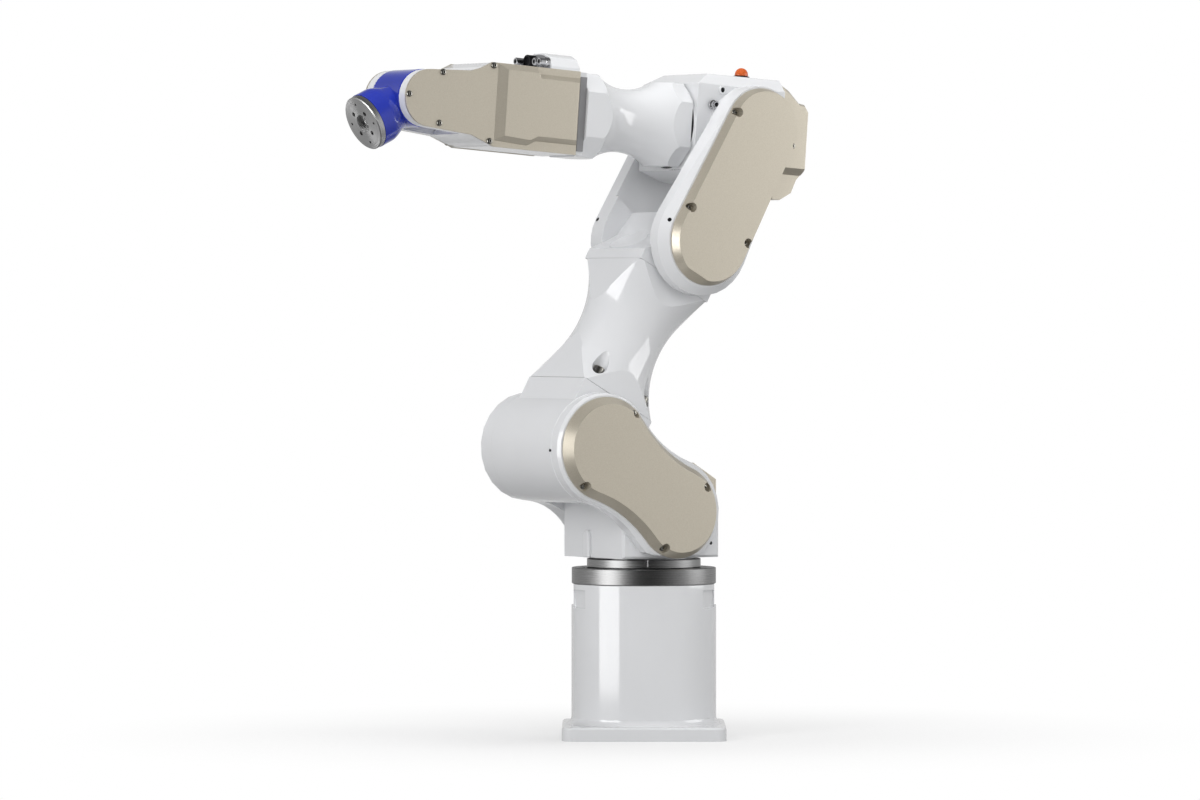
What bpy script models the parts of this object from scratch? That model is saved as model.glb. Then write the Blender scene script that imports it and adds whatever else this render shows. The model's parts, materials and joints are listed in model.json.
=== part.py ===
"""Six-axis robot arm of the 900 mm reach class, at rest with its forearm level.

Every size below is in millimetres and is turned into metres when a mesh is made.
World frame: +Z up, origin at the middle of the base's underside, on the first axis.
Each link is modelled in its own frame: X forward, Y towards the near side (the side
with the belt covers), Z up along the link, with the link's joint at the origin.
"""

import math

import bmesh
import bpy
from mathutils import Matrix

MM = 0.001
WELD = 0.001
GAP = 0.3
RUNNING_GAP = 0.5
CUT_OVERRUN = 5.0
JOIN_OVERLAP = 1.0
MOTOR_CLEARANCE = 2.0
MOTOR_END_CLEARANCE = 4.0
BELT_MOTOR_RECESS = 8.0

BIG_FACET_COUNT = 32
MID_FACET_COUNT = 18
SMALL_FACET_COUNT = 12
TINY_FACET_COUNT = 8

# Reach of the links and the pose in which the arm stands
SHOULDER_HEIGHT = 320.0
SHOULDER_OFFSET = 100.0
LOWER_ARM_LENGTH = 400.0
FOREARM_LENGTH = 400.0
FLANGE_REACH = 65.0
ARM_YAW = 213.27
LOWER_ARM_LEAN = 29.23
FOREARM_PITCH = 4.3
WRIST_BEND = 29.6

# Base
FOOT_WIDTH = 180.0
FOOT_THICKNESS = 15.0
FOOT_CORNER = 14.0
FOOT_EDGE = 2.0
FOOT_BOLT_INSET = 15.0
FOOT_BOLT_HOLE = 11.0
TOWER_RADIUS = 79.7
TOWER_FILLET = 8.0
TOWER_STEP_HEIGHT = 146.0
TOWER_STEP_SLOPE = 1.5
TOWER_NECK_RADIUS = 77.0
TOWER_TOP = 169.4
SIDE_PAD_HALF_WIDTH = 43.0
SIDE_PAD_BOTTOM = 143.0
SIDE_PAD_TOP = 163.0
REDUCER_SEAT_FLOOR = 110.0
REDUCER_RADIUS = 52.0
CONNECTOR_BOX_HALF_WIDTH = 58.0
CONNECTOR_BOX_SETBACK = 2.0
CONNECTOR_BOX_BOTTOM = 24.0
CONNECTOR_BOX_TOP = 128.0
PANEL_MARGIN = 5.0
PANEL_THICKNESS = 3.0
POWER_SHELL_RADIUS = 15.0
POWER_SHELL_REACH = 12.0
SHELL_WALL = 2.0
SHELL_FLANGE = 3.0
PANEL_CORNER = 3.0
SIGNAL_SHELL_SHIFT = 4.0
INSERT_RECESS = 2.0
SIGNAL_SHELL_WIDTH = 44.0
SIGNAL_SHELL_HEIGHT = 16.0
SIGNAL_SHELL_REACH = 9.0
FITTING_RADIUS = 5.5
FITTING_BORE = 3.0
FITTING_REACH = 9.0
FITTING_COLLAR = 4.0
FITTING_TAPER = 1.2
BASE_FITTING_PITCH = 18.0

# First joint
BEARING_RING_RADIUS = 79.5
BEARING_RING_HEIGHT = 17.8
BEARING_RING_BORE = 50.0
OUTPUT_FLANGE_RADIUS = 62.7
OUTPUT_FLANGE_HEIGHT = 9.8
RING_BOLT_COUNT = 8
RING_BOLT_CIRCLE = 71.0
RING_BOLT_RADIUS = 3.4
RING_BOLT_SINK = 3.5
RING_CHAMFER = 0.8

# Shoulder
SHOULDER_FLOOR = 199.0
SHOULDER_FOOT_RADIUS = 56.0
SHOULDER_HALF_WIDTH = 60.0
SHOULDER_FRONT = 67.0
SHOULDER_BACK = -60.0
SHOULDER_DECK = 284.5
SHOULDER_STEP = 259.0
SHOULDER_STEP_FRONT = -26.0
SHOULDER_CORNER = 2.5
HUB_RADIUS = 60.6
HUB_NEAR = 56.7
HUB_FAR = -62.0
SHOULDER_NEAR_FACE = 76.0
NEAR_BOSS_RADIUS = 61.0
NEAR_BOSS_LOWER_RADIUS = 58.0
NEAR_BOSS_WAIST = 120.0
NEAR_BOSS_RIM_WAIST = 140.0
NEAR_BOSS_FLOOR = 203.0
FAR_PRONG_FACE = -88.0
FAR_PRONG_RADIUS = 59.5
FAR_PRONG_WAIST = 70.0
FAR_PRONG_FOOT = (-2.0, 246.0)
FAR_PRONG_FOOT_RADIUS = 52.0
FAR_PRONG_EDGE = 4.0
FRONT_RIB_PLACE = -10.0
FRONT_RIB_HALF_WIDTH = 5.0
FRONT_RIB_DEPTH = 3.0
FRONT_RIB_TOP = 229.0
REAR_COVER_TOP = 303.0
REAR_COVER_FRONT = 6.0
REAR_COVER_NOSE = 11.0
REAR_COVER_WALL = 3.0
REAR_COVER_INSET = 3.0
J1_MOTOR_PLACE = (-28.0, -30.0)
J1_MOTOR_RADIUS = 24.0
J1_MOTOR_FLOOR = 214.0
J1_PINION_RADIUS = 7.6
J1_PINION_LIFT = 1.0
J1_MOTOR_HEADROOM = 8.0

# Second joint's belt drive
J2_MOTOR_PLACE = (7.0, 250.0)
J2_MOTOR_RADIUS = 29.0
J2_MOTOR_LENGTH = 64.0
J2_COVER_RIM_RADIUS = 56.6
J2_COVER_FACE_RADIUS = 49.0
J2_COVER_LOWER_RIM_RADIUS = 51.0
J2_COVER_LOWER_FACE_RADIUS = 44.0
J2_COVER_WAIST = 160.0
J2_COVER_RIM_WAIST = 152.0
J2_COVER_THICKNESS = 12.0
J2_COVER_LIP = 2.0
COVER_FACE_WALL = 2.0
SCREW_POCKET_RADIUS = 5.2
SCREW_POCKET_FLOOR = 2.6
J2_SCREW_PLACES = ((132.0, 280.0), (70.0, 360.0), (29.0, 211.0), (-23.0, 278.0))
J2_DRIVEN_PULLEY_RADIUS = 36.0
J2_DRIVE_PULLEY_RADIUS = 16.0
PULLEY_WIDTH = 8.0
BELT_THICKNESS = 1.6
BELT_GAP = 0.6
BELT_SPACE = 5.0
BELT_EDGE = 1.0
PULLEY_SHAFT_RADIUS = 7.0

# Lower arm
ARM_HALF_WIDTH = 56.0
ARM_HALF_DEPTH = 50.0
HUB_BLOCK_TOP = 61.0
HUB_BLOCK_BOTTOM = -10.0
WAIST_TOP = 210.0
WAIST_MIDDLE = 137.0
WAIST_RADIUS = 48.0
WAIST_CURVE = 125.0
WAIST_BORE = 26.0
TUBE_BOLT_ACROSS = 33.0
TUBE_BOLT_ASIDE = 46.0
TUBE_BOLT_SEAT = 71.0
TUBE_BOLT_HEAD_RADIUS = 5.0
TUBE_BOLT_HEAD = 6.0
TUBE_BOLT_SHANK = 3.0
TUBE_BOLT_GRIP = 10.0
TUBE_BOLT_POCKET = 8.0
TUBE_POCKET_HEIGHT = 32.0
TUBE_POCKET_STRAIGHT = 19.2
TUBE_BOLT_DEPTH = 25.0
J2_REDUCER_RADIUS = 44.0
J2_REDUCER_DEPTH = 30.0
J2_BEARING_RADIUS = 24.0
J2_BEARING_BORE = 14.0
J2_BEARING_DEPTH = 14.0

# Elbow yoke: two prongs that hold the elbow between them
YOKE_NEAR_INNER = 60.5
YOKE_NEAR_OUTER = 88.0
YOKE_FAR_INNER = -60.5
YOKE_FAR_OUTER = -83.0
YOKE_SCOOP_RADIUS = 117.0
YOKE_WEB_STEPS = ((0.0, 12.0), (10.0, 24.0), (24.0, 44.0))
YOKE_WEB_TOP_INSET = 31.0
YOKE_WEB_FRONT_DROP = 110.0
YOKE_WEB_BACK_DROP = 90.0
YOKE_PRONG_EDGE = 5.0
YOKE_PRONG_INSET = 4.0
YOKE_HEAD_RADIUS = 44.0
YOKE_FAR_HEAD_RADIUS = 42.0
YOKE_SHELL_HEAD_RADIUS = 48.0
YOKE_SHELL_DROP = 12.0
YOKE_SHELL_START = 4.0
YOKE_RIM_DROP = 3.0
YOKE_PRONG_ROOT = 8.0
YOKE_PRONG_THICKNESS = 12.0
YOKE_SHELL_RADIUS = 60.0
YOKE_SHELL_SLOPE = 10.0
J3_MOTOR_PLACE = (1.0, 259.0)
J3_MOTOR_RADIUS = 21.0
J3_MOTOR_LENGTH = 88.0
J3_COVER_RIM_RADIUS = 49.0
J3_COVER_FACE_RADIUS = 44.6
J3_COVER_TOP_RIM_RADIUS = 45.0
J3_COVER_TOP_FACE_RADIUS = 41.5
J3_COVER_THICKNESS = 12.0
J3_COVER_FLAT = 210.0
J3_COVER_FACE_FLAT = 217.0
J3_SCREW_PLACES = ((44.0, 398.0), (-44.0, 404.0), (47.0, 277.0), (-39.0, 279.0))
J3_DRIVEN_PULLEY_RADIUS = 30.0
J3_DRIVE_PULLEY_RADIUS = 14.0

# Elbow
ELBOW_NEAR = 50.0
ELBOW_FAR = -59.5
ELBOW_FRONT = 60.0
ELBOW_BACK = -56.0
ELBOW_TOP = 60.0
ELBOW_SHOULDER_LINE = 47.0
ELBOW_FLOOR = -60.0
ELBOW_FRONT_FLOOR = -49.0
ELBOW_CHAMFER = 13.0
ELBOW_TOP_SLOPE = 19.0
ELBOW_TOP_DROP = 1.0
ELBOW_FLOOR_SLOPE = 24.0
ELBOW_HUB_RADIUS = 43.0
ELBOW_HUB_NEAR = 60.0
COLLAR_RADIUS = 48.5
COLLAR_DEPTH = 1.2
COLLAR_ROOT = 8.0
ELBOW_FITTING_PLACE = (48.0, 24.0)
J3_REDUCER_RADIUS = 32.0
J3_REDUCER_DEPTH = 19.0
J4_REDUCER_RADIUS = 34.0
J4_REDUCER_BACK = 34.0
J4_MOTOR_RADIUS = 24.0
J4_MOTOR_BACK = -88.0
J4_MOTOR_FRONT = -6.0
J3_BEARING_RADIUS = 24.0
J3_BEARING_DEPTH = 12.0
ELBOW_COVER_BACK = -96.0
ELBOW_COVER_HALF_WIDTH = 44.0
ELBOW_COVER_TAPER = 6.0
ELBOW_COVER_UPPER_LINE = ((0.0, 56.0), (12.0, 50.0), (27.0, 37.0))
ELBOW_COVER_BACK_LINE = ((5.0, 36.0), (0.0, 29.0), (0.0, -38.0), (9.0, -48.0), (15.0, -63.0))
ELBOW_COVER_LOWER_LINE = ((10.0, -72.0), (0.0, -72.0))
ELBOW_COVER_SLIMNESS = 0.94
LAMP_PLACE = -30.0
LAMP_RADIUS = 7.6
LAMP_HEIGHT = 9.0
LAMP_BASE_RADIUS = 9.2
LAMP_BASE_HEIGHT = 3.0

# Forearm
TUBE_BACK = 61.7
TUBE_NECK_PLACE = 127.0
TUBE_NECK_RADIUS = 34.8
TUBE_CURVE = 77.0
TUBE_END_RADIUS = 52.0
TUBE_FLAT = 46.0
TUBE_VERTEX = 25.0
TUBE_BORE = 22.0

# Wrist, placed from the fifth axis
WRIST_BACK = -199.7
WRIST_HALF_HEIGHT = 45.0
WRIST_TOP_LINE = ((-50.0, 34.0), (-62.0, 38.0), (-76.0, 45.0))
WRIST_BOTTOM_LINE = ((-84.0, -45.0), (-72.0, -41.0), (-55.0, -35.0))
WRIST_HALF_WIDTH = 40.0
WRIST_NOSE_RADIUS = 31.0
WRIST_SLOT_HALF_WIDTH = 28.4
WRIST_SLOT_RADIUS = 60.0
WRIST_COVER_THICKNESS = 2.4
WRIST_COVER_INSET = 9.7
WRIST_COVER_OVERHANG = 0.5
WRIST_PANEL_LINE = (
    (-94.0, 39.0),
    (-134.0, 39.0),
    (-136.0, 33.0),
    (-186.0, 33.0),
    (-186.0, -30.0),
    (-137.0, -30.0),
    (-127.0, -35.0),
    (-94.0, -33.0),
)
WRIST_PANEL_MIDDLE = (-140.0, 2.0)
WRIST_PANEL_SPREAD = (1.1, 1.17)
WRIST_PANEL_SINK = 1.0
WRIST_PANEL_FACE = 48.0
WRIST_MOTOR_PLACE = -120.0
WRIST_MOTOR_RADIUS = 19.0
WRIST_MOTOR_LENGTH = 62.0
WRIST_MOTOR_OFFSET = 21.0
WRIST_DRIVE_PULLEY_RADIUS = 9.0
WRIST_DRIVEN_PULLEY_RADIUS = 18.0
WRIST_PULLEY_WIDTH = 5.0
WRIST_BELT_CHANNEL = 7.0
WRIST_BELT_EDGE = 0.5
CONNECTOR_HOUSING_FRONT = -163.0
CONNECTOR_HOUSING_TOP = 64.0
CONNECTOR_HOUSING_NEAR = 26.0
CONNECTOR_HOUSING_FAR = -30.0
CONNECTOR_HOUSING_ARCH = ((0.0, -14.0), (8.0, -4.0), (18.0, 0.0))
WRIST_FITTING_HEIGHT = 54.0
WRIST_FITTING_WALL = 2.0
WRIST_FITTING_PLACES = (8.0, 18.0)
TOOL_SHELL_PLACE = (-10.0, 54.5)
TOOL_SHELL_RADIUS = 7.5
TOOL_SHELL_REACH = 10.0
DRUM_RADIUS = 31.3
DRUM_HALF_WIDTH = 27.9
DRUM_CHAMFER = 1.2
BARREL_RADIUS = 31.0
BARREL_SHOULDER = 40.0
BARREL_ROOT = (22.0, 10.0)
BARREL_NECK = (27.0, 30.0)
BARREL_ROUNDING = 1.0
BARREL_FRONT = 58.0
J6_REDUCER_RADIUS = 22.0
J6_REDUCER_BACK = 30.0
TOOL_RIM_RADIUS = 30.4
TOOL_FACE_RADIUS = 29.5
TOOL_CHAMFER = 0.9
J6_REDUCER_BORE = 4.0
PILOT_RADIUS = 10.0
PILOT_DEPTH = 5.0
TOOL_BOLT_CIRCLE = 15.75
TOOL_BOLT_RADIUS = 2.5
TOOL_BOLT_DEPTH = 6.0

# Finishes: sRGB colour, roughness, metallic
FINISHES = {
    "white_paint": ("E9EAEC", 0.28, 0.0),
    "cover_satin": ("B9B2A4", 0.42, 0.35),
    "wrist_blue": ("2638A6", 0.25, 0.0),
    "turned_steel": ("A9A9AA", 0.3, 1.0),
    "black_oxide": ("2B2B2D", 0.45, 0.6),
    "black_plastic": ("1C1C1E", 0.5, 0.0),
    "motor_black": ("26272A", 0.5, 0.2),
    "belt_rubber": ("18181A", 0.8, 0.0),
    "lamp_orange": ("E8481A", 0.2, 0.0),
}


def linear(value):
    return value / 12.92 if value <= 0.04045 else ((value + 0.055) / 1.055) ** 2.4


def make_finishes():
    """One Principled material for each finish in the table."""
    made = {}
    for name, (colour, roughness, metallic) in FINISHES.items():
        material = bpy.data.materials.new(name)
        material.use_nodes = True
        shader = material.node_tree.nodes["Principled BSDF"]
        channels = [linear(int(colour[i : i + 2], 16) / 255) for i in (0, 2, 4)]
        shader.inputs["Base Color"].default_value = (*channels, 1.0)
        shader.inputs["Roughness"].default_value = roughness
        shader.inputs["Metallic"].default_value = metallic
        made[name] = material
    return made


def clear_scene():
    for found in list(bpy.data.objects):
        bpy.data.objects.remove(found)


def add_frame(name, parent, place=(0.0, 0.0, 0.0), turn=0.0, axis="Y"):
    """Empty that carries a link, placed in millimetres and turned in degrees."""
    frame = bpy.data.objects.new(name, None)
    bpy.context.scene.collection.objects.link(frame)
    frame.parent = parent
    frame.location = [MM * value for value in place]
    frame.rotation_euler["XYZ".index(axis)] = math.radians(turn)
    return frame


# Outlines


def arc(centre, radius, start, end, steps=8):
    """Points along an arc, angles in degrees."""
    angles = [math.radians(start + (end - start) * i / steps) for i in range(steps + 1)]
    return [(centre[0] + radius * math.cos(a), centre[1] + radius * math.sin(a)) for a in angles]


def rounded_rectangle(half_width, half_height, corner, steps=4):
    points = []
    for across, up, start in ((1, 1, 0), (-1, 1, 90), (-1, -1, 180), (1, -1, 270)):
        centre = (across * (half_width - corner), up * (half_height - corner))
        points += arc(centre, corner, start, start + 90, steps)
    return points


def between_circles(centre_a, radius_a, centre_b, radius_b, waist=0.0, steps=8):
    """Outline round two circles, joined by tangents or by arcs of radius waist that curve inwards."""
    span = math.dist(centre_a, centre_b)
    heading = math.degrees(math.atan2(centre_b[1] - centre_a[1], centre_b[0] - centre_a[0]))
    if not waist:
        lean = math.degrees(math.acos((radius_a - radius_b) / span))
        points = arc(centre_a, radius_a, heading + lean, heading + 360 - lean, 2 * steps)
        return points + arc(centre_b, radius_b, heading - lean, heading + lean, 2 * steps)
    reach_a = radius_a + waist
    reach_b = radius_b + waist
    along = (span**2 + reach_a**2 - reach_b**2) / (2 * span)
    aside = math.sqrt(reach_a**2 - along**2)
    lean_a = math.degrees(math.atan2(aside, along))
    lean_b = math.degrees(math.atan2(aside, span - along))
    points = arc(centre_a, radius_a, heading + lean_a, heading + 360 - lean_a, 2 * steps)
    turn = math.radians(heading)
    for side in (-1, 1):
        middle = (
            centre_a[0] + along * math.cos(turn) - side * aside * math.sin(turn),
            centre_a[1] + along * math.sin(turn) + side * aside * math.cos(turn),
        )
        if side < 0:
            points += arc(middle, waist, heading + 180 - lean_a, heading + lean_b, steps)[1:-1]
            points += arc(centre_b, radius_b, heading - 180 + lean_b, heading + 180 - lean_b, 2 * steps)
        else:
            points += arc(middle, waist, heading - lean_b, heading - 180 + lean_a, steps)[1:-1]
    return points


def no_lower(points, floor):
    """Outline with everything below a level moved up to it."""
    return [(across, max(up, floor)) for across, up in points]


def kept_within(points, half_width):
    """Outline with its sides held within a half width."""
    return [(max(-half_width, min(half_width, across)), up) for across, up in points]


# Solids


def lofted(sections, axis):
    """Solid through outlines of as many points each, given as (outline, level along the axis)."""
    shape = bmesh.new()
    rings = []
    for outline, level in sections:
        spots = {
            "X": [(level, first, second) for first, second in outline],
            "Y": [(first, level, second) for first, second in outline],
            "Z": [(first, second, level) for first, second in outline],
        }[axis]
        rings.append([shape.verts.new(spot) for spot in spots])
    for low, high in zip(rings, rings[1:]):
        for i in range(len(low)):
            shape.faces.new((low[i - 1], low[i], high[i], high[i - 1]))
    shape.faces.new(rings[0])
    shape.faces.new(rings[-1])
    bmesh.ops.remove_doubles(shape, verts=shape.verts, dist=WELD)
    bmesh.ops.recalc_face_normals(shape, faces=shape.faces)
    return shape


def prism(outline, low, high, axis):
    return lofted([(outline, low), (outline, high)], axis)


def block(x_range, y_range, z_range):
    corners = [
        (x_range[0], y_range[0]),
        (x_range[1], y_range[0]),
        (x_range[1], y_range[1]),
        (x_range[0], y_range[1]),
    ]
    return prism(corners, z_range[0], z_range[1], "Z")


def turned(profile, axis="Z", centre=(0.0, 0.0, 0.0), steps=MID_FACET_COUNT):
    """Solid turned from (radius, place along the axis) points; off the axis it closes into a ring."""
    shape = bmesh.new()
    points = [shape.verts.new((radius, 0.0, along)) for radius, along in profile]
    edges = [shape.edges.new(pair) for pair in zip(points, points[1:])]
    if profile[0][0] > 0:
        edges.append(shape.edges.new((points[-1], points[0])))
    bmesh.ops.spin(
        shape,
        geom=points + edges,
        cent=(0, 0, 0),
        axis=(0, 0, 1),
        angle=2 * math.pi,
        steps=steps,
        use_merge=True,
    )
    bmesh.ops.remove_doubles(shape, verts=shape.verts, dist=WELD)
    bmesh.ops.recalc_face_normals(shape, faces=shape.faces)
    if axis == "X":
        shape.transform(Matrix.Rotation(math.pi / 2, 4, "Y"))
    if axis == "Y":
        shape.transform(Matrix.Rotation(-math.pi / 2, 4, "X"))
    shape.transform(Matrix.Translation(centre))
    return shape


def cylinder(radius, low, high, axis="Z", centre=(0.0, 0.0, 0.0), steps=MID_FACET_COUNT):
    return turned([(0.0, low), (radius, low), (radius, high), (0.0, high)], axis, centre, steps)


def tube(radius, bore, low, high, axis="Z", centre=(0.0, 0.0, 0.0), steps=MID_FACET_COUNT):
    return turned([(bore, low), (radius, low), (radius, high), (bore, high)], axis, centre, steps)


def group(shapes):
    """Separate solids kept as one shape."""
    whole = bmesh.new()
    for shape in shapes:
        mesh = bpy.data.meshes.new("loose")
        shape.to_mesh(mesh)
        shape.free()
        whole.from_mesh(mesh)
        bpy.data.meshes.remove(mesh)
    return whole


def add_mesh_object(name, shape, frame):
    shape.transform(Matrix.Scale(MM, 4))
    mesh = bpy.data.meshes.new(name)
    shape.to_mesh(mesh)
    shape.free()
    piece = bpy.data.objects.new(name, mesh)
    bpy.context.scene.collection.objects.link(piece)
    piece.parent = frame
    return piece


def add_piece(name, finish, frame, shape, steps=(), solver="EXACT"):
    """Named piece from a first shape and a list of (operation, shape) Boolean steps.

    The manifold solver is for the castings on which the exact one leaves an edge open.
    """
    piece = add_mesh_object(name, shape, frame)
    piece.data.materials.append(finishes[finish])
    for number, (operation, tool_shape) in enumerate(steps, 1):
        tool = add_mesh_object(f"{name}_{operation.lower()}_{number}", tool_shape, frame)
        tool.hide_render = True
        tool.display_type = "WIRE"
        step = piece.modifiers.new(f"{operation.lower()}_{number}", "BOOLEAN")
        step.operation = operation
        step.solver = solver
        step.object = tool
    piece.data.shade_smooth()
    piece.data.set_sharp_from_angle(angle=math.radians(30))
    return piece


def socket_screw(
    place,
    seat,
    axis,
    head_radius,
    head,
    shank_radius,
    grip,
    outwards=1,
    steps=TINY_FACET_COUNT,
):
    """Socket-head screw on its seat, its shank running against the outward direction."""
    socket = head_radius * 0.5
    profile = [
        (0.0, -grip),
        (shank_radius, -grip),
        (shank_radius, 0.0),
        (head_radius, 0.0),
        (head_radius, head),
        (socket, head),
        (socket, head * 0.45),
        (0.0, head * 0.45),
    ]
    profile = [(radius, seat + outwards * along) for radius, along in profile]
    first, second = place
    centre = {"X": (0, first, second), "Y": (first, 0, second), "Z": (first, second, 0)}[axis]
    return turned(profile, axis, centre, steps)


def belt(centre_a, radius_a, centre_b, radius_b, low, high, axis="Y"):
    """Closed belt round two pulleys: one strip round the outline of both."""
    inner = between_circles(centre_a, radius_a + BELT_GAP, centre_b, radius_b + BELT_GAP, steps=6)
    reach = BELT_GAP + BELT_THICKNESS
    outer = between_circles(centre_a, radius_a + reach, centre_b, radius_b + reach, steps=6)
    shape = bmesh.new()
    rings = []
    for outline, level in ((outer, low), (outer, high), (inner, high), (inner, low)):
        rings.append([shape.verts.new((across, level, up)) for across, up in outline])
    for ring, after in zip(rings, rings[1:] + rings[:1]):
        for i in range(len(ring)):
            shape.faces.new((ring[i - 1], ring[i], after[i], after[i - 1]))
    bmesh.ops.recalc_face_normals(shape, faces=shape.faces)
    return shape


def screw_pockets(places, seat, face):
    """Round pockets that take the screw heads of a belt cover."""
    return group(
        [
            cylinder(
                SCREW_POCKET_RADIUS,
                seat + SCREW_POCKET_FLOOR,
                face + CUT_OVERRUN,
                "Y",
                (x, 0.0, z),
                TINY_FACET_COUNT,
            )
            for x, z in places
        ]
    )


def flanged_pulley(radius, centre, low, high, shaft_radius, shaft_end):
    """Pulley on a shaft that runs along Y to shaft_end."""
    x, z = centre
    profile = [(0.0, shaft_end), (shaft_radius, shaft_end), (shaft_radius, low), (radius, low)]
    profile += [(radius, high), (0.0, high)]
    return turned(profile, "Y", (x, 0.0, z), MID_FACET_COUNT)


# Base


def build_base():
    corner_offsets = [(x, y) for x in (-1, 1) for y in (-1, 1)]
    bolt_reach = FOOT_WIDTH / 2 - FOOT_BOLT_INSET
    foot = rounded_rectangle(FOOT_WIDTH / 2, FOOT_WIDTH / 2, FOOT_CORNER)
    foot_top = rounded_rectangle(
        FOOT_WIDTH / 2 - FOOT_EDGE, FOOT_WIDTH / 2 - FOOT_EDGE, FOOT_CORNER - FOOT_EDGE
    )
    plate = lofted([(foot, 0.0), (foot, FOOT_THICKNESS - FOOT_EDGE), (foot_top, FOOT_THICKNESS)], "Z")
    fillet = [
        (TOWER_RADIUS + TOWER_FILLET * (1 - math.sin(a)), FOOT_THICKNESS + TOWER_FILLET * (1 - math.cos(a)))
        for a in (math.pi / 2 * i / 4 for i in range(5))
    ]
    tower = [(0.0, FOOT_EDGE * 2), (TOWER_RADIUS + TOWER_FILLET, FOOT_EDGE * 2)] + fillet
    tower += [(TOWER_RADIUS, TOWER_STEP_HEIGHT), (TOWER_NECK_RADIUS, TOWER_STEP_HEIGHT + TOWER_STEP_SLOPE)]
    tower += [(TOWER_NECK_RADIUS, TOWER_TOP), (0.0, TOWER_TOP)]
    pads = block(
        (-TOWER_RADIUS, TOWER_RADIUS),
        (-SIDE_PAD_HALF_WIDTH, SIDE_PAD_HALF_WIDTH),
        (SIDE_PAD_BOTTOM, SIDE_PAD_TOP),
    )
    rear_box = block(
        (-CONNECTOR_BOX_HALF_WIDTH, CONNECTOR_BOX_HALF_WIDTH),
        (TOWER_RADIUS / 2, FOOT_WIDTH / 2 - CONNECTOR_BOX_SETBACK),
        (CONNECTOR_BOX_BOTTOM, CONNECTOR_BOX_TOP),
    )
    bolt_holes = group(
        [
            cylinder(
                FOOT_BOLT_HOLE / 2,
                -CUT_OVERRUN,
                FOOT_THICKNESS * 2,
                "Z",
                (x * bolt_reach, y * bolt_reach, 0),
                20,
            )
            for x, y in corner_offsets
        ]
    )
    reducer_seat = cylinder(
        REDUCER_RADIUS + GAP, REDUCER_SEAT_FLOOR, TOWER_TOP + CUT_OVERRUN, "Z", steps=BIG_FACET_COUNT
    )
    add_piece(
        "base_casting",
        "white_paint",
        base,
        plate,
        [
            ("UNION", turned(tower, "Z", steps=BIG_FACET_COUNT)),
            ("UNION", pads),
            ("UNION", rear_box),
            ("DIFFERENCE", bolt_holes),
            ("DIFFERENCE", reducer_seat),
        ],
    )
    add_piece(
        "j1_reducer",
        "turned_steel",
        base,
        tube(
            REDUCER_RADIUS, PILOT_RADIUS, REDUCER_SEAT_FLOOR + GAP, TOWER_TOP - GAP, "Z", steps=BIG_FACET_COUNT
        ),
    )
    build_connector_panel()
    build_first_bearing()


def build_connector_panel():
    """Rear panel of the base with its power and signal connectors and air fittings."""
    seat = FOOT_WIDTH / 2 - CONNECTOR_BOX_SETBACK + GAP
    face = seat + PANEL_THICKNESS
    half_width = CONNECTOR_BOX_HALF_WIDTH - PANEL_MARGIN
    middle = (CONNECTOR_BOX_BOTTOM + CONNECTOR_BOX_TOP) / 2
    half_height = (CONNECTOR_BOX_TOP - CONNECTOR_BOX_BOTTOM) / 2 - PANEL_MARGIN
    outline = [(x, middle + z) for x, z in rounded_rectangle(half_width, half_height, PANEL_CORNER, 2)]
    add_piece(
        "base_connector_panel",
        "black_oxide",
        base,
        prism(outline, seat, face, "Y"),
    )
    add_piece(
        "base_power_connector",
        "black_plastic",
        base,
        turned(
            [
                (0.0, face + GAP),
                (POWER_SHELL_RADIUS + SHELL_FLANGE, face + GAP),
                (POWER_SHELL_RADIUS + SHELL_FLANGE, face + SHELL_FLANGE),
                (POWER_SHELL_RADIUS, face + SHELL_FLANGE),
                (POWER_SHELL_RADIUS, face + POWER_SHELL_REACH),
                (POWER_SHELL_RADIUS - SHELL_WALL, face + POWER_SHELL_REACH),
                (POWER_SHELL_RADIUS - SHELL_WALL, face + POWER_SHELL_REACH - INSERT_RECESS),
                (0.0, face + POWER_SHELL_REACH - INSERT_RECESS),
            ],
            "Y",
            (-half_width / 2, 0.0, middle + half_height / 3),
        ),
    )
    signal = [
        (half_width / 2 - SIGNAL_SHELL_SHIFT + x, middle + half_height / 3 + z)
        for x, z in rounded_rectangle(SIGNAL_SHELL_WIDTH / 2, SIGNAL_SHELL_HEIGHT / 2, PANEL_CORNER, 2)
    ]
    add_piece(
        "base_signal_connector",
        "black_plastic",
        base,
        prism(signal, face + GAP, face + SIGNAL_SHELL_REACH, "Y"),
    )
    for number, place in enumerate((-1, 1), 1):
        shell = turned(
            [
                (FITTING_BORE, face + GAP),
                (FITTING_RADIUS, face + GAP),
                (FITTING_RADIUS, face + FITTING_REACH),
                (FITTING_BORE, face + FITTING_REACH),
            ],
            "Y",
            (place * BASE_FITTING_PITCH, 0.0, middle - half_height / 2),
            TINY_FACET_COUNT,
        )
        add_piece(f"base_air_fitting_{number}", "turned_steel", base, shell)


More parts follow.
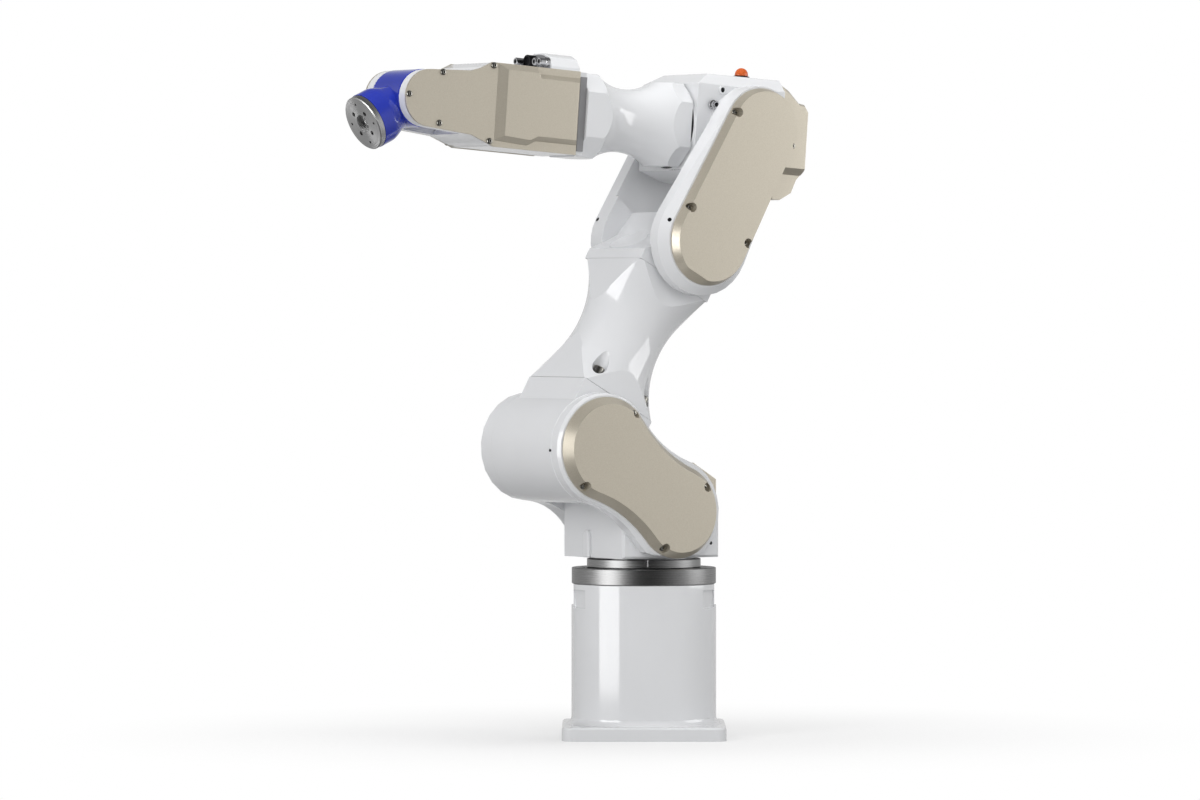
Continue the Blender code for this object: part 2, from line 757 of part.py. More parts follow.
def build_first_bearing():
    """Steel rings between the tower and the shoulder: the outer one stands, the inner one turns."""
    bottom = TOWER_TOP + GAP
    top = TOWER_TOP + BEARING_RING_HEIGHT
    places = [
        (
            RING_BOLT_CIRCLE * math.cos(2 * math.pi * i / RING_BOLT_COUNT),
            RING_BOLT_CIRCLE * math.sin(2 * math.pi * i / RING_BOLT_COUNT),
        )
        for i in range(RING_BOLT_COUNT)
    ]
    sinks = [
        cylinder(
            RING_BOLT_RADIUS + GAP,
            top - RING_BOLT_SINK,
            top + CUT_OVERRUN,
            "Z",
            (x, y, 0),
            TINY_FACET_COUNT,
        )
        for x, y in places
    ]
    ring = [
        (BEARING_RING_BORE, bottom),
        (BEARING_RING_RADIUS - RING_CHAMFER, bottom),
        (BEARING_RING_RADIUS, bottom + RING_CHAMFER),
        (BEARING_RING_RADIUS, top - RING_CHAMFER),
        (BEARING_RING_RADIUS - RING_CHAMFER, top),
        (BEARING_RING_BORE, top),
    ]
    add_piece(
        "j1_bearing_ring",
        "turned_steel",
        base,
        turned(ring, "Z", steps=BIG_FACET_COUNT),
        [("DIFFERENCE", group(sinks))],
    )
    low = top + GAP
    flange = [
        (0.0, TOWER_TOP + GAP),
        (BEARING_RING_BORE - RUNNING_GAP, TOWER_TOP + GAP),
        (BEARING_RING_BORE - RUNNING_GAP, low),
        (OUTPUT_FLANGE_RADIUS, low),
        (OUTPUT_FLANGE_RADIUS, low + OUTPUT_FLANGE_HEIGHT - GAP),
        (0.0, low + OUTPUT_FLANGE_HEIGHT - GAP),
    ]
    add_piece("j1_output_flange", "turned_steel", shoulder, turned(flange, "Z", steps=BIG_FACET_COUNT))


# Shoulder


def build_shoulder():
    deck = [
        (SHOULDER_BACK, SHOULDER_FLOOR),
        (SHOULDER_FRONT, SHOULDER_FLOOR),
        (SHOULDER_FRONT, SHOULDER_DECK),
        (SHOULDER_STEP_FRONT, SHOULDER_DECK),
        (SHOULDER_STEP_FRONT, SHOULDER_STEP),
        (SHOULDER_BACK, SHOULDER_STEP),
    ]
    box = prism(deck, -SHOULDER_HALF_WIDTH, SHOULDER_HALF_WIDTH, "Y")
    bmesh.ops.bevel(
        box,
        geom=[edge for edge in box.edges if abs(edge.verts[0].co.y - edge.verts[1].co.y) < WELD],
        offset=SHOULDER_CORNER,
        segments=1,
        affect="EDGES",
    )
    hub_centre = (SHOULDER_OFFSET, SHOULDER_HEIGHT)
    near_boss = no_lower(
        between_circles(
            hub_centre, NEAR_BOSS_RADIUS, J2_MOTOR_PLACE, NEAR_BOSS_LOWER_RADIUS, NEAR_BOSS_WAIST
        ),
        NEAR_BOSS_FLOOR,
    )
    near_lip = no_lower(
        between_circles(
            hub_centre,
            J2_COVER_RIM_RADIUS + J2_COVER_LIP,
            J2_MOTOR_PLACE,
            J2_COVER_LOWER_RIM_RADIUS + J2_COVER_LIP,
            NEAR_BOSS_RIM_WAIST,
        ),
        NEAR_BOSS_FLOOR,
    )
    far_prong = no_lower(
        between_circles(
            hub_centre, FAR_PRONG_RADIUS, FAR_PRONG_FOOT, FAR_PRONG_FOOT_RADIUS, FAR_PRONG_WAIST
        ),
        SHOULDER_FLOOR + JOIN_OVERLAP,
    )
    far_edge = no_lower(
        between_circles(
            hub_centre,
            FAR_PRONG_RADIUS - FAR_PRONG_EDGE,
            FAR_PRONG_FOOT,
            FAR_PRONG_FOOT_RADIUS - FAR_PRONG_EDGE,
            FAR_PRONG_WAIST + FAR_PRONG_EDGE,
        ),
        SHOULDER_FLOOR + JOIN_OVERLAP,
    )
    hub_space = cylinder(
        HUB_RADIUS + 2.0,
        HUB_FAR - RUNNING_GAP,
        HUB_NEAR + RUNNING_GAP,
        "Y",
        (SHOULDER_OFFSET, 0.0, SHOULDER_HEIGHT),
        BIG_FACET_COUNT,
    )
    foot = cylinder(
        SHOULDER_FOOT_RADIUS, foot_level(), SHOULDER_FLOOR + 2 * JOIN_OVERLAP, "Z", steps=BIG_FACET_COUNT
    )
    rib = block(
        (SHOULDER_FRONT - FRONT_RIB_DEPTH, SHOULDER_FRONT + FRONT_RIB_DEPTH),
        (FRONT_RIB_PLACE - FRONT_RIB_HALF_WIDTH, FRONT_RIB_PLACE + FRONT_RIB_HALF_WIDTH),
        (SHOULDER_FLOOR, FRONT_RIB_TOP),
    )
    motor_bore = cylinder(
        J2_MOTOR_RADIUS + GAP,
        SHOULDER_NEAR_FACE - BELT_MOTOR_RECESS - J2_MOTOR_LENGTH - MOTOR_END_CLEARANCE,
        SHOULDER_NEAR_FACE + CUT_OVERRUN,
        "Y",
        (J2_MOTOR_PLACE[0], 0.0, J2_MOTOR_PLACE[1]),
    )
    j2_shaft_bore = cylinder(
        PULLEY_SHAFT_RADIUS + GAP,
        HUB_NEAR - CUT_OVERRUN,
        SHOULDER_NEAR_FACE + CUT_OVERRUN,
        "Y",
        (SHOULDER_OFFSET, 0.0, SHOULDER_HEIGHT),
        SMALL_FACET_COUNT,
    )
    add_piece(
        "shoulder_casting",
        "white_paint",
        shoulder,
        box,
        [
            (
                "UNION",
                lofted(
                    [
                        (near_boss, HUB_NEAR + GAP),
                        (near_boss, SHOULDER_NEAR_FACE - 4.0),
                        (near_lip, SHOULDER_NEAR_FACE),
                    ],
                    "Y",
                ),
            ),
            (
                "UNION",
                lofted(
                    [
                        (far_edge, FAR_PRONG_FACE),
                        (far_prong, FAR_PRONG_FACE + FAR_PRONG_EDGE),
                        (far_prong, JOIN_OVERLAP - SHOULDER_HALF_WIDTH),
                    ],
                    "Y",
                ),
            ),
            ("UNION", foot),
            ("UNION", rib),
            ("DIFFERENCE", hub_space),
            ("DIFFERENCE", motor_bore),
            ("DIFFERENCE", j2_shaft_bore),
            ("DIFFERENCE", j1_drive_space()),
        ],
        "MANIFOLD",
    )
    build_rear_cover()
    build_first_motor()
    build_second_drive()


def foot_level():
    """Level of the turning output flange's top, where the shoulder sits."""
    return TOWER_TOP + BEARING_RING_HEIGHT + OUTPUT_FLANGE_HEIGHT + GAP


def j1_drive_space():
    """Space for the first motor and its pinion, open below and above."""
    return turned(
        [
            (0.0, foot_level() - CUT_OVERRUN),
            (J1_PINION_RADIUS + MOTOR_CLEARANCE, foot_level() - CUT_OVERRUN),
            (J1_PINION_RADIUS + MOTOR_CLEARANCE, J1_MOTOR_FLOOR - GAP),
            (J1_MOTOR_RADIUS + GAP, J1_MOTOR_FLOOR - GAP),
            (J1_MOTOR_RADIUS + GAP, SHOULDER_DECK + CUT_OVERRUN),
            (0.0, SHOULDER_DECK + CUT_OVERRUN),
        ],
        "Z",
        (*J1_MOTOR_PLACE, 0.0),
    )


def build_rear_cover():
    floor = SHOULDER_STEP + GAP
    outline = [
        (SHOULDER_BACK, floor),
        (SHOULDER_BACK, SHOULDER_DECK),
        (SHOULDER_BACK / 2, REAR_COVER_TOP),
        (REAR_COVER_FRONT - REAR_COVER_NOSE, REAR_COVER_TOP),
        (REAR_COVER_FRONT, REAR_COVER_TOP - REAR_COVER_NOSE),
        (REAR_COVER_FRONT, SHOULDER_DECK + GAP),
        (SHOULDER_STEP_FRONT - GAP, SHOULDER_DECK + GAP),
        (SHOULDER_STEP_FRONT - GAP, floor),
    ]
    near = HUB_NEAR - REAR_COVER_INSET
    add_piece(
        "shoulder_rear_cover",
        "cover_satin",
        shoulder,
        prism(outline, -near, near, "Y"),
        [
            (
                "DIFFERENCE",
                cylinder(
                    J1_MOTOR_RADIUS + MOTOR_CLEARANCE,
                    floor - CUT_OVERRUN,
                    REAR_COVER_TOP - REAR_COVER_WALL,
                    "Z",
                    (*J1_MOTOR_PLACE, 0.0),
                ),
            )
        ],
    )


def build_first_motor():
    top = REAR_COVER_TOP - REAR_COVER_WALL - J1_MOTOR_HEADROOM
    add_piece(
        "j1_motor",
        "motor_black",
        shoulder,
        turned(
            [
                (0.0, foot_level() + J1_PINION_LIFT),
                (J1_PINION_RADIUS, foot_level() + J1_PINION_LIFT),
                (J1_PINION_RADIUS, J1_MOTOR_FLOOR),
                (J1_MOTOR_RADIUS, J1_MOTOR_FLOOR),
                (J1_MOTOR_RADIUS, top),
                (0.0, top),
            ],
            "Z",
            (*J1_MOTOR_PLACE, 0.0),
        ),
    )


def build_second_drive():
    """Motor, belt and pulleys of the second joint, under their cover on the near side."""
    hub_centre = (SHOULDER_OFFSET, SHOULDER_HEIGHT)
    seat = SHOULDER_NEAR_FACE + GAP
    face = SHOULDER_NEAR_FACE + J2_COVER_THICKNESS

    def outline(upper, lower, waist):
        return between_circles(hub_centre, upper, J2_MOTOR_PLACE, lower, waist)

    rim = outline(J2_COVER_RIM_RADIUS, J2_COVER_LOWER_RIM_RADIUS, J2_COVER_RIM_WAIST)
    crown = outline(J2_COVER_FACE_RADIUS, J2_COVER_LOWER_FACE_RADIUS, J2_COVER_WAIST)
    hollow = outline(J2_DRIVEN_PULLEY_RADIUS + BELT_SPACE, J2_DRIVE_PULLEY_RADIUS + BELT_SPACE, 0.0)
    add_piece(
        "j2_belt_cover",
        "cover_satin",
        shoulder,
        lofted([(rim, seat), (rim, seat + J2_COVER_LIP), (crown, face)], "Y"),
        [
            ("DIFFERENCE", prism(hollow, seat - CUT_OVERRUN, face - COVER_FACE_WALL, "Y")),
            ("DIFFERENCE", screw_pockets(J2_SCREW_PLACES, seat, face)),
        ],
    )
    add_piece(
        "j2_motor",
        "motor_black",
        shoulder,
        cylinder(
            J2_MOTOR_RADIUS,
            SHOULDER_NEAR_FACE - BELT_MOTOR_RECESS - J2_MOTOR_LENGTH,
            SHOULDER_NEAR_FACE - BELT_MOTOR_RECESS,
            "Y",
            (J2_MOTOR_PLACE[0], 0.0, J2_MOTOR_PLACE[1]),
        ),
    )
    low = SHOULDER_NEAR_FACE + 2 * GAP
    high = low + PULLEY_WIDTH
    add_piece(
        "j2_drive_pulley",
        "turned_steel",
        shoulder,
        flanged_pulley(
            J2_DRIVE_PULLEY_RADIUS,
            J2_MOTOR_PLACE,
            low,
            high,
            PULLEY_SHAFT_RADIUS,
            SHOULDER_NEAR_FACE - BELT_MOTOR_RECESS + GAP,
        ),
    )
    add_piece(
        "j2_driven_pulley",
        "turned_steel",
        shoulder,
        flanged_pulley(
            J2_DRIVEN_PULLEY_RADIUS, hub_centre, low, high, PULLEY_SHAFT_RADIUS, HUB_NEAR + 2 * GAP
        ),
    )
    add_piece(
        "j2_belt",
        "belt_rubber",
        shoulder,
        belt(
            hub_centre,
            J2_DRIVEN_PULLEY_RADIUS,
            J2_MOTOR_PLACE,
            J2_DRIVE_PULLEY_RADIUS,
            low + BELT_EDGE,
            high - BELT_EDGE,
        ),
    )


# Lower arm


def build_lower_arm():
    block_part = block(
        (-ARM_HALF_DEPTH, ARM_HALF_DEPTH),
        (-ARM_HALF_WIDTH, ARM_HALF_WIDTH),
        (HUB_BLOCK_BOTTOM, HUB_BLOCK_TOP),
    )
    reducer_seat = cylinder(
        J2_REDUCER_RADIUS + GAP, HUB_NEAR - J2_REDUCER_DEPTH, HUB_NEAR + CUT_OVERRUN, "Y", steps=BIG_FACET_COUNT
    )
    bearing_seat = cylinder(
        J2_BEARING_RADIUS + GAP, HUB_FAR - CUT_OVERRUN, HUB_FAR + J2_BEARING_DEPTH, "Y", steps=MID_FACET_COUNT
    )
    bolt_spots = [(x * TUBE_BOLT_ACROSS, y * TUBE_BOLT_ASIDE) for x in (-1, 1) for y in (-1, 1)]
    bolt_holes = group(
        [
            cylinder(
                TUBE_BOLT_SHANK + GAP,
                TUBE_BOLT_SEAT - TUBE_BOLT_DEPTH,
                TUBE_BOLT_SEAT + CUT_OVERRUN,
                "Z",
                (x, y, 0),
                TINY_FACET_COUNT,
            )
            for x, y in bolt_spots
        ]
    )
    add_piece(
        "lower_arm_hub",
        "white_paint",
        lower_arm,
        cylinder(HUB_RADIUS, HUB_FAR, HUB_NEAR, "Y", steps=BIG_FACET_COUNT),
        [
            ("UNION", block_part),
            ("DIFFERENCE", reducer_seat),
            ("DIFFERENCE", bearing_seat),
            ("DIFFERENCE", bolt_holes),
        ],
        "MANIFOLD",
    )
    add_piece(
        "j2_reducer",
        "turned_steel",
        lower_arm,
        cylinder(
            J2_REDUCER_RADIUS, HUB_NEAR - J2_REDUCER_DEPTH + GAP, HUB_NEAR - GAP, "Y", steps=BIG_FACET_COUNT
        ),
    )
    add_piece(
        "j2_bearing",
        "turned_steel",
        lower_arm,
        tube(
            J2_BEARING_RADIUS, J2_BEARING_BORE, HUB_FAR + GAP, HUB_FAR + J2_BEARING_DEPTH - GAP, "Y"
        ),
    )
    build_waist_tube(bolt_spots)
    build_yoke()
    build_third_drive()


def build_waist_tube(bolt_spots):
    """Turned tube with a hollowed waist, cut to four flat sides, bolted down at its lower end."""
    bottom = HUB_BLOCK_TOP + GAP
    count = 8
    profile = [(WAIST_BORE, WAIST_TOP), (WAIST_BORE, bottom)]
    for i in range(count + 1):
        level = bottom + (WAIST_TOP - bottom) * i / count
        rise = WAIST_CURVE - math.sqrt(WAIST_CURVE**2 - (level - WAIST_MIDDLE) ** 2)
        profile.append((WAIST_RADIUS + rise, level))
    sides = block(
        (-ARM_HALF_DEPTH, ARM_HALF_DEPTH),
        (-ARM_HALF_WIDTH, ARM_HALF_WIDTH),
        (bottom - CUT_OVERRUN, WAIST_TOP + CUT_OVERRUN),
    )
    pockets = group(
        [
            turned(
                [
                    (0.0, bottom - CUT_OVERRUN),
                    (TUBE_BOLT_SHANK + GAP, bottom - CUT_OVERRUN),
                    (TUBE_BOLT_SHANK + GAP, TUBE_BOLT_SEAT),
                    (TUBE_BOLT_POCKET, TUBE_BOLT_SEAT),
                    (TUBE_BOLT_POCKET, TUBE_BOLT_SEAT + TUBE_POCKET_STRAIGHT),
                    (0.0, TUBE_BOLT_SEAT + TUBE_POCKET_HEIGHT),
                ],
                "Z",
                (x, y, 0.0),
                SMALL_FACET_COUNT,
            )
            for x, y in bolt_spots
        ]
    )
    add_piece(
        "lower_arm_tube",
        "white_paint",
        lower_arm,
        turned(profile, "Z", steps=BIG_FACET_COUNT),
        [("INTERSECT", sides), ("DIFFERENCE", pockets)],
    )
    for number, spot in enumerate(bolt_spots, 1):
        bolt = socket_screw(
            spot,
            TUBE_BOLT_SEAT + GAP,
            "Z",
            TUBE_BOLT_HEAD_RADIUS,
            TUBE_BOLT_HEAD,
            TUBE_BOLT_SHANK,
            TUBE_BOLT_SEAT - HUB_BLOCK_TOP + TUBE_BOLT_GRIP,
        )
        add_piece(f"lower_arm_bolt_{number}", "black_oxide", lower_arm, bolt)


def build_yoke():
    """Casting with a web below and a prong on each side of the elbow."""
    bottom = WAIST_TOP + GAP
    head = (0.0, LOWER_ARM_LENGTH)
    web = [
        (-ARM_HALF_DEPTH, bottom),
        (ARM_HALF_DEPTH, bottom),
        *((ARM_HALF_DEPTH - inset, bottom + rise) for inset, rise in YOKE_WEB_STEPS),
        (ARM_HALF_DEPTH - YOKE_WEB_TOP_INSET, LOWER_ARM_LENGTH - YOKE_WEB_FRONT_DROP),
        (-ARM_HALF_DEPTH, LOWER_ARM_LENGTH - YOKE_WEB_BACK_DROP),
    ]
    far_lower = (0.0, WAIST_TOP + ARM_HALF_DEPTH)
    far_prong = kept_within(
        between_circles(far_lower, ARM_HALF_DEPTH - YOKE_PRONG_INSET, head, YOKE_FAR_HEAD_RADIUS),
        ARM_HALF_DEPTH,
    )
    far_rim = kept_within(
        between_circles(
            far_lower,
            ARM_HALF_DEPTH - 2 * YOKE_PRONG_INSET,
            head,
            YOKE_FAR_HEAD_RADIUS - YOKE_PRONG_INSET,
        ),
        ARM_HALF_DEPTH,
    )
    shell = no_lower(
        between_circles(J3_MOTOR_PLACE, YOKE_SHELL_RADIUS, head, YOKE_SHELL_HEAD_RADIUS),
        bottom - YOKE_SHELL_DROP,
    )
    shell_rim = no_lower(
        between_circles(
            J3_MOTOR_PLACE,
            J3_COVER_RIM_RADIUS + J2_COVER_LIP,
            head,
            J3_COVER_TOP_RIM_RADIUS + J2_COVER_LIP,
        ),
        bottom - YOKE_RIM_DROP,
    )
    near_prong = no_lower(between_circles(J3_MOTOR_PLACE, ARM_HALF_DEPTH, head, YOKE_HEAD_RADIUS), bottom)
    motor_bore = cylinder(
        J3_MOTOR_RADIUS + GAP,
        YOKE_NEAR_OUTER - BELT_MOTOR_RECESS - J3_MOTOR_LENGTH - MOTOR_END_CLEARANCE,
        YOKE_NEAR_OUTER + CUT_OVERRUN,
        "Y",
        (J3_MOTOR_PLACE[0], 0.0, J3_MOTOR_PLACE[1]),
    )
    shaft_bore = cylinder(
        PULLEY_SHAFT_RADIUS + GAP,
        YOKE_NEAR_INNER - CUT_OVERRUN,
        YOKE_NEAR_OUTER + CUT_OVERRUN,
        "Y",
        (0.0, 0.0, LOWER_ARM_LENGTH),
        SMALL_FACET_COUNT,
    )
    scoop = cylinder(
        YOKE_SCOOP_RADIUS,
        YOKE_FAR_INNER,
        YOKE_NEAR_INNER,
        "Y",
        (0.0, 0.0, LOWER_ARM_LENGTH),
        BIG_FACET_COUNT,
    )
    add_piece(
        "elbow_yoke",
        "white_paint",
        lower_arm,
        prism(web, -ARM_HALF_WIDTH, ARM_HALF_WIDTH, "Y"),
        [
            (
                "UNION",
                lofted(
                    [
                        (far_rim, YOKE_FAR_OUTER),
                        (far_prong, YOKE_FAR_OUTER + YOKE_PRONG_EDGE),
                        (far_prong, JOIN_OVERLAP - ARM_HALF_WIDTH),
                    ],
                    "Y",
                ),
            ),
            (
                "UNION",
                prism(
                    near_prong,
                    ARM_HALF_WIDTH - YOKE_PRONG_ROOT,
                    YOKE_NEAR_INNER + YOKE_PRONG_THICKNESS,
                    "Y",
                ),
            ),
            (
                "UNION",
                lofted(
                    [
                        (shell, YOKE_NEAR_INNER + YOKE_SHELL_START),
                        (shell, YOKE_NEAR_OUTER - YOKE_SHELL_SLOPE),
                        (shell_rim, YOKE_NEAR_OUTER),
                    ],
                    "Y",
                ),
            ),
            ("DIFFERENCE", scoop),
            ("DIFFERENCE", motor_bore),
            ("DIFFERENCE", shaft_bore),
        ],
        "MANIFOLD",
    )


def build_third_drive():
    """Motor, belt and pulleys of the third joint, under their cover on the yoke."""
    head = (0.0, LOWER_ARM_LENGTH)
    seat = YOKE_NEAR_OUTER + GAP
    face = YOKE_NEAR_OUTER + J3_COVER_THICKNESS
    rim = no_lower(
        between_circles(J3_MOTOR_PLACE, J3_COVER_RIM_RADIUS, head, J3_COVER_TOP_RIM_RADIUS), J3_COVER_FLAT
    )
    crown = no_lower(
        between_circles(J3_MOTOR_PLACE, J3_COVER_FACE_RADIUS, head, J3_COVER_TOP_FACE_RADIUS),
        J3_COVER_FACE_FLAT,
    )
    hollow = between_circles(
        head, J3_DRIVEN_PULLEY_RADIUS + BELT_SPACE, J3_MOTOR_PLACE, J3_DRIVE_PULLEY_RADIUS + BELT_SPACE
    )
    add_piece(
        "j3_belt_cover",
        "cover_satin",
        lower_arm,
        lofted([(rim, seat), (rim, seat + J2_COVER_LIP), (crown, face)], "Y"),
        [
            ("DIFFERENCE", prism(hollow, seat - CUT_OVERRUN, face - COVER_FACE_WALL, "Y")),
            ("DIFFERENCE", screw_pockets(J3_SCREW_PLACES, seat, face)),
        ],
    )
    add_piece(
        "j3_motor",
        "motor_black",
        lower_arm,
        cylinder(
            J3_MOTOR_RADIUS,
            YOKE_NEAR_OUTER - BELT_MOTOR_RECESS - J3_MOTOR_LENGTH,
            YOKE_NEAR_OUTER - BELT_MOTOR_RECESS,
            "Y",
            (J3_MOTOR_PLACE[0], 0.0, J3_MOTOR_PLACE[1]),
        ),
    )
    low = YOKE_NEAR_OUTER + 2 * GAP
    high = low + PULLEY_WIDTH
    add_piece(
        "j3_drive_pulley",
        "turned_steel",
        lower_arm,
        flanged_pulley(
            J3_DRIVE_PULLEY_RADIUS,
            J3_MOTOR_PLACE,
            low,
            high,
            PULLEY_SHAFT_RADIUS,
            YOKE_NEAR_OUTER - BELT_MOTOR_RECESS + GAP,
        ),
    )
    add_piece(
        "j3_driven_pulley",
        "turned_steel",
        lower_arm,
        flanged_pulley(
            J3_DRIVEN_PULLEY_RADIUS, head, low, high, PULLEY_SHAFT_RADIUS, YOKE_NEAR_INNER + GAP
        ),
    )
    add_piece(
        "j3_belt",
        "belt_rubber",
        lower_arm,
        belt(
            head,
            J3_DRIVEN_PULLEY_RADIUS,
            J3_MOTOR_PLACE,
            J3_DRIVE_PULLEY_RADIUS,
            low + BELT_EDGE,
            high - BELT_EDGE,
        ),
    )


# Elbow


def build_elbow():
    side = [
        (ELBOW_FRONT, ELBOW_FRONT_FLOOR),
        (ELBOW_FRONT, ELBOW_SHOULDER_LINE),
        (ELBOW_FRONT - ELBOW_TOP_SLOPE, ELBOW_TOP - ELBOW_TOP_DROP),
        (ELBOW_BACK, ELBOW_TOP),
        (ELBOW_BACK, ELBOW_FLOOR),
        (ELBOW_FRONT - ELBOW_FLOOR_SLOPE, ELBOW_FLOOR),
    ]
    section = [
        (ELBOW_NEAR, ELBOW_FLOOR + ELBOW_CHAMFER),
        (ELBOW_NEAR, ELBOW_TOP - ELBOW_CHAMFER),
        (ELBOW_NEAR - ELBOW_CHAMFER, ELBOW_TOP + GAP),
        (ELBOW_FAR + ELBOW_CHAMFER, ELBOW_TOP + GAP),
        (ELBOW_FAR, ELBOW_TOP - ELBOW_CHAMFER),
        (ELBOW_FAR, ELBOW_FLOOR + ELBOW_CHAMFER),
        (ELBOW_FAR + ELBOW_CHAMFER, ELBOW_FLOOR - GAP),
        (ELBOW_NEAR - ELBOW_CHAMFER, ELBOW_FLOOR - GAP),
    ]
    j3_reducer_seat = cylinder(
        J3_REDUCER_RADIUS + GAP, ELBOW_HUB_NEAR - J3_REDUCER_DEPTH, ELBOW_HUB_NEAR + CUT_OVERRUN, "Y"
    )
    j3_bearing_seat = cylinder(
        J3_BEARING_RADIUS + GAP, ELBOW_FAR - CUT_OVERRUN, ELBOW_FAR + J3_BEARING_DEPTH, "Y"
    )
    j4_motor_bore = cylinder(J4_MOTOR_RADIUS + GAP, ELBOW_BACK - CUT_OVERRUN, J4_MOTOR_FRONT + GAP, "X")
    j4_reducer_seat = cylinder(
        J4_REDUCER_RADIUS + GAP, J4_REDUCER_BACK - GAP, ELBOW_FRONT + COLLAR_DEPTH + CUT_OVERRUN, "X"
    )
    add_piece(
        "elbow_casting",
        "white_paint",
        elbow,
        prism(side, ELBOW_FAR - CUT_OVERRUN, ELBOW_NEAR + CUT_OVERRUN, "Y"),
        [
            ("INTERSECT", prism(section, ELBOW_BACK - 2 * CUT_OVERRUN, ELBOW_FRONT + 2 * CUT_OVERRUN, "X")),
            ("UNION", cylinder(ELBOW_HUB_RADIUS, 0.0, ELBOW_HUB_NEAR, "Y", steps=BIG_FACET_COUNT)),
            (
                "UNION",
                cylinder(
                    COLLAR_RADIUS,
                    ELBOW_FRONT - COLLAR_ROOT,
                    ELBOW_FRONT + COLLAR_DEPTH,
                    "X",
                    steps=BIG_FACET_COUNT,
                ),
            ),
            ("DIFFERENCE", j3_reducer_seat),
            ("DIFFERENCE", j3_bearing_seat),
            ("DIFFERENCE", j4_motor_bore),
            ("DIFFERENCE", j4_reducer_seat),
        ],
    )
    add_piece(
        "j3_reducer",
        "turned_steel",
        elbow,
        cylinder(J3_REDUCER_RADIUS, ELBOW_HUB_NEAR - J3_REDUCER_DEPTH + GAP, ELBOW_HUB_NEAR - GAP, "Y"),
    )
    add_piece(
        "j3_bearing",
        "turned_steel",
        elbow,
        tube(J3_BEARING_RADIUS, J2_BEARING_BORE, ELBOW_FAR + GAP, ELBOW_FAR + J3_BEARING_DEPTH - GAP, "Y"),
    )
    add_piece(
        "j4_motor", "motor_black", elbow, cylinder(J4_MOTOR_RADIUS, J4_MOTOR_BACK, J4_MOTOR_FRONT, "X")
    )
    add_piece(
        "j4_reducer",
        "turned_steel",
        elbow,
        cylinder(J4_REDUCER_RADIUS, J4_REDUCER_BACK, ELBOW_FRONT + COLLAR_DEPTH - GAP, "X"),
    )
    build_elbow_cover()
    build_lamp()
    build_elbow_fittings()


def build_elbow_cover():
    """Rear cover of the elbow, over the fourth motor."""
    front = ELBOW_BACK - GAP
    outline = [(front - behind, up) for behind, up in ELBOW_COVER_UPPER_LINE]
    outline += [(ELBOW_COVER_BACK + ahead, up) for ahead, up in ELBOW_COVER_BACK_LINE]
    outline += [(front - behind, up) for behind, up in ELBOW_COVER_LOWER_LINE]
    slim = [(x if x == front else x + ELBOW_COVER_TAPER / 2, z * ELBOW_COVER_SLIMNESS) for x, z in outline]
    width = ELBOW_COVER_HALF_WIDTH
    add_piece(
        "elbow_rear_cover",
        "cover_satin",
        elbow,
        lofted(
            [
                (slim, -width),
                (outline, ELBOW_COVER_TAPER - width),
                (outline, width - ELBOW_COVER_TAPER),
                (slim, width),
            ],
            "Y",
        ),
        [
            (
                "DIFFERENCE",
                cylinder(
                    J4_MOTOR_RADIUS + MOTOR_CLEARANCE,
                    J4_MOTOR_BACK - MOTOR_CLEARANCE,
                    front + CUT_OVERRUN,
                    "X",
                ),
            )
        ],
    )


def build_lamp():
    low = ELBOW_TOP + GAP
    add_piece(
        "signal_lamp_base",
        "black_plastic",
        elbow,
        cylinder(LAMP_BASE_RADIUS, low, low + LAMP_BASE_HEIGHT, "Z", (LAMP_PLACE, 0.0, 0.0), 24),
    )
    lens = low + LAMP_BASE_HEIGHT + GAP
    straight = LAMP_HEIGHT - LAMP_RADIUS
    dome = [
        (LAMP_RADIUS * math.cos(a), lens + straight + LAMP_RADIUS * math.sin(a))
        for a in (math.pi / 2 * i / 4 for i in range(5))
    ]
    dome[-1] = (0.0, dome[-1][1])
    add_piece(
        "signal_lamp",
        "lamp_orange",
        elbow,
        turned([(0.0, lens), (LAMP_RADIUS, lens)] + dome, "Z", (LAMP_PLACE, 0.0, 0.0), 16),
    )


def build_elbow_fittings():
    """Push-in air fitting on the near face."""
    x, z = ELBOW_FITTING_PLACE
    shell = turned(
        [
            (FITTING_BORE, ELBOW_NEAR + GAP),
            (FITTING_RADIUS, ELBOW_NEAR + GAP),
            (FITTING_RADIUS, ELBOW_NEAR + FITTING_COLLAR),
            (FITTING_RADIUS - FITTING_TAPER, ELBOW_NEAR + FITTING_REACH),
            (FITTING_BORE, ELBOW_NEAR + FITTING_REACH),
        ],
        "Y",
        (x, 0.0, z),
        SMALL_FACET_COUNT,
    )
    add_piece("elbow_air_fitting", "turned_steel", elbow, shell)


# Forearm


def build_forearm():
    """Turned tube with a hollowed neck whose ends are cut to eight flats."""
    back = TUBE_BACK - FOREARM_LENGTH
    front = WRIST_BACK - GAP
    neck = TUBE_NECK_PLACE - FOREARM_LENGTH
    count = 10
    profile = [(TUBE_BORE, front), (TUBE_BORE, back)]
    for i in range(count + 1):
        place = back + (front - back) * i / count
        swell = TUBE_CURVE - math.sqrt(max(0.0, TUBE_CURVE**2 - (place - neck) ** 2))
        profile.append((min(TUBE_END_RADIUS, TUBE_NECK_RADIUS + swell), place))
    flats = []
    for across, up in ((1, 1), (-1, 1), (-1, -1), (1, -1)):
        corner = [(across * TUBE_FLAT, up * TUBE_VERTEX), (across * TUBE_VERTEX, up * TUBE_FLAT)]
        flats += corner if across * up > 0 else corner[::-1]
    add_piece(
        "forearm_tube",
        "white_paint",
        forearm,
        turned(profile, "X", steps=BIG_FACET_COUNT),
        [("INTERSECT", prism(flats, back - CUT_OVERRUN, front + CUT_OVERRUN, "X"))],
    )
    build_wrist_housing()
    build_wrist_covers()
    build_connector_housing()
    build_wrist_motors()


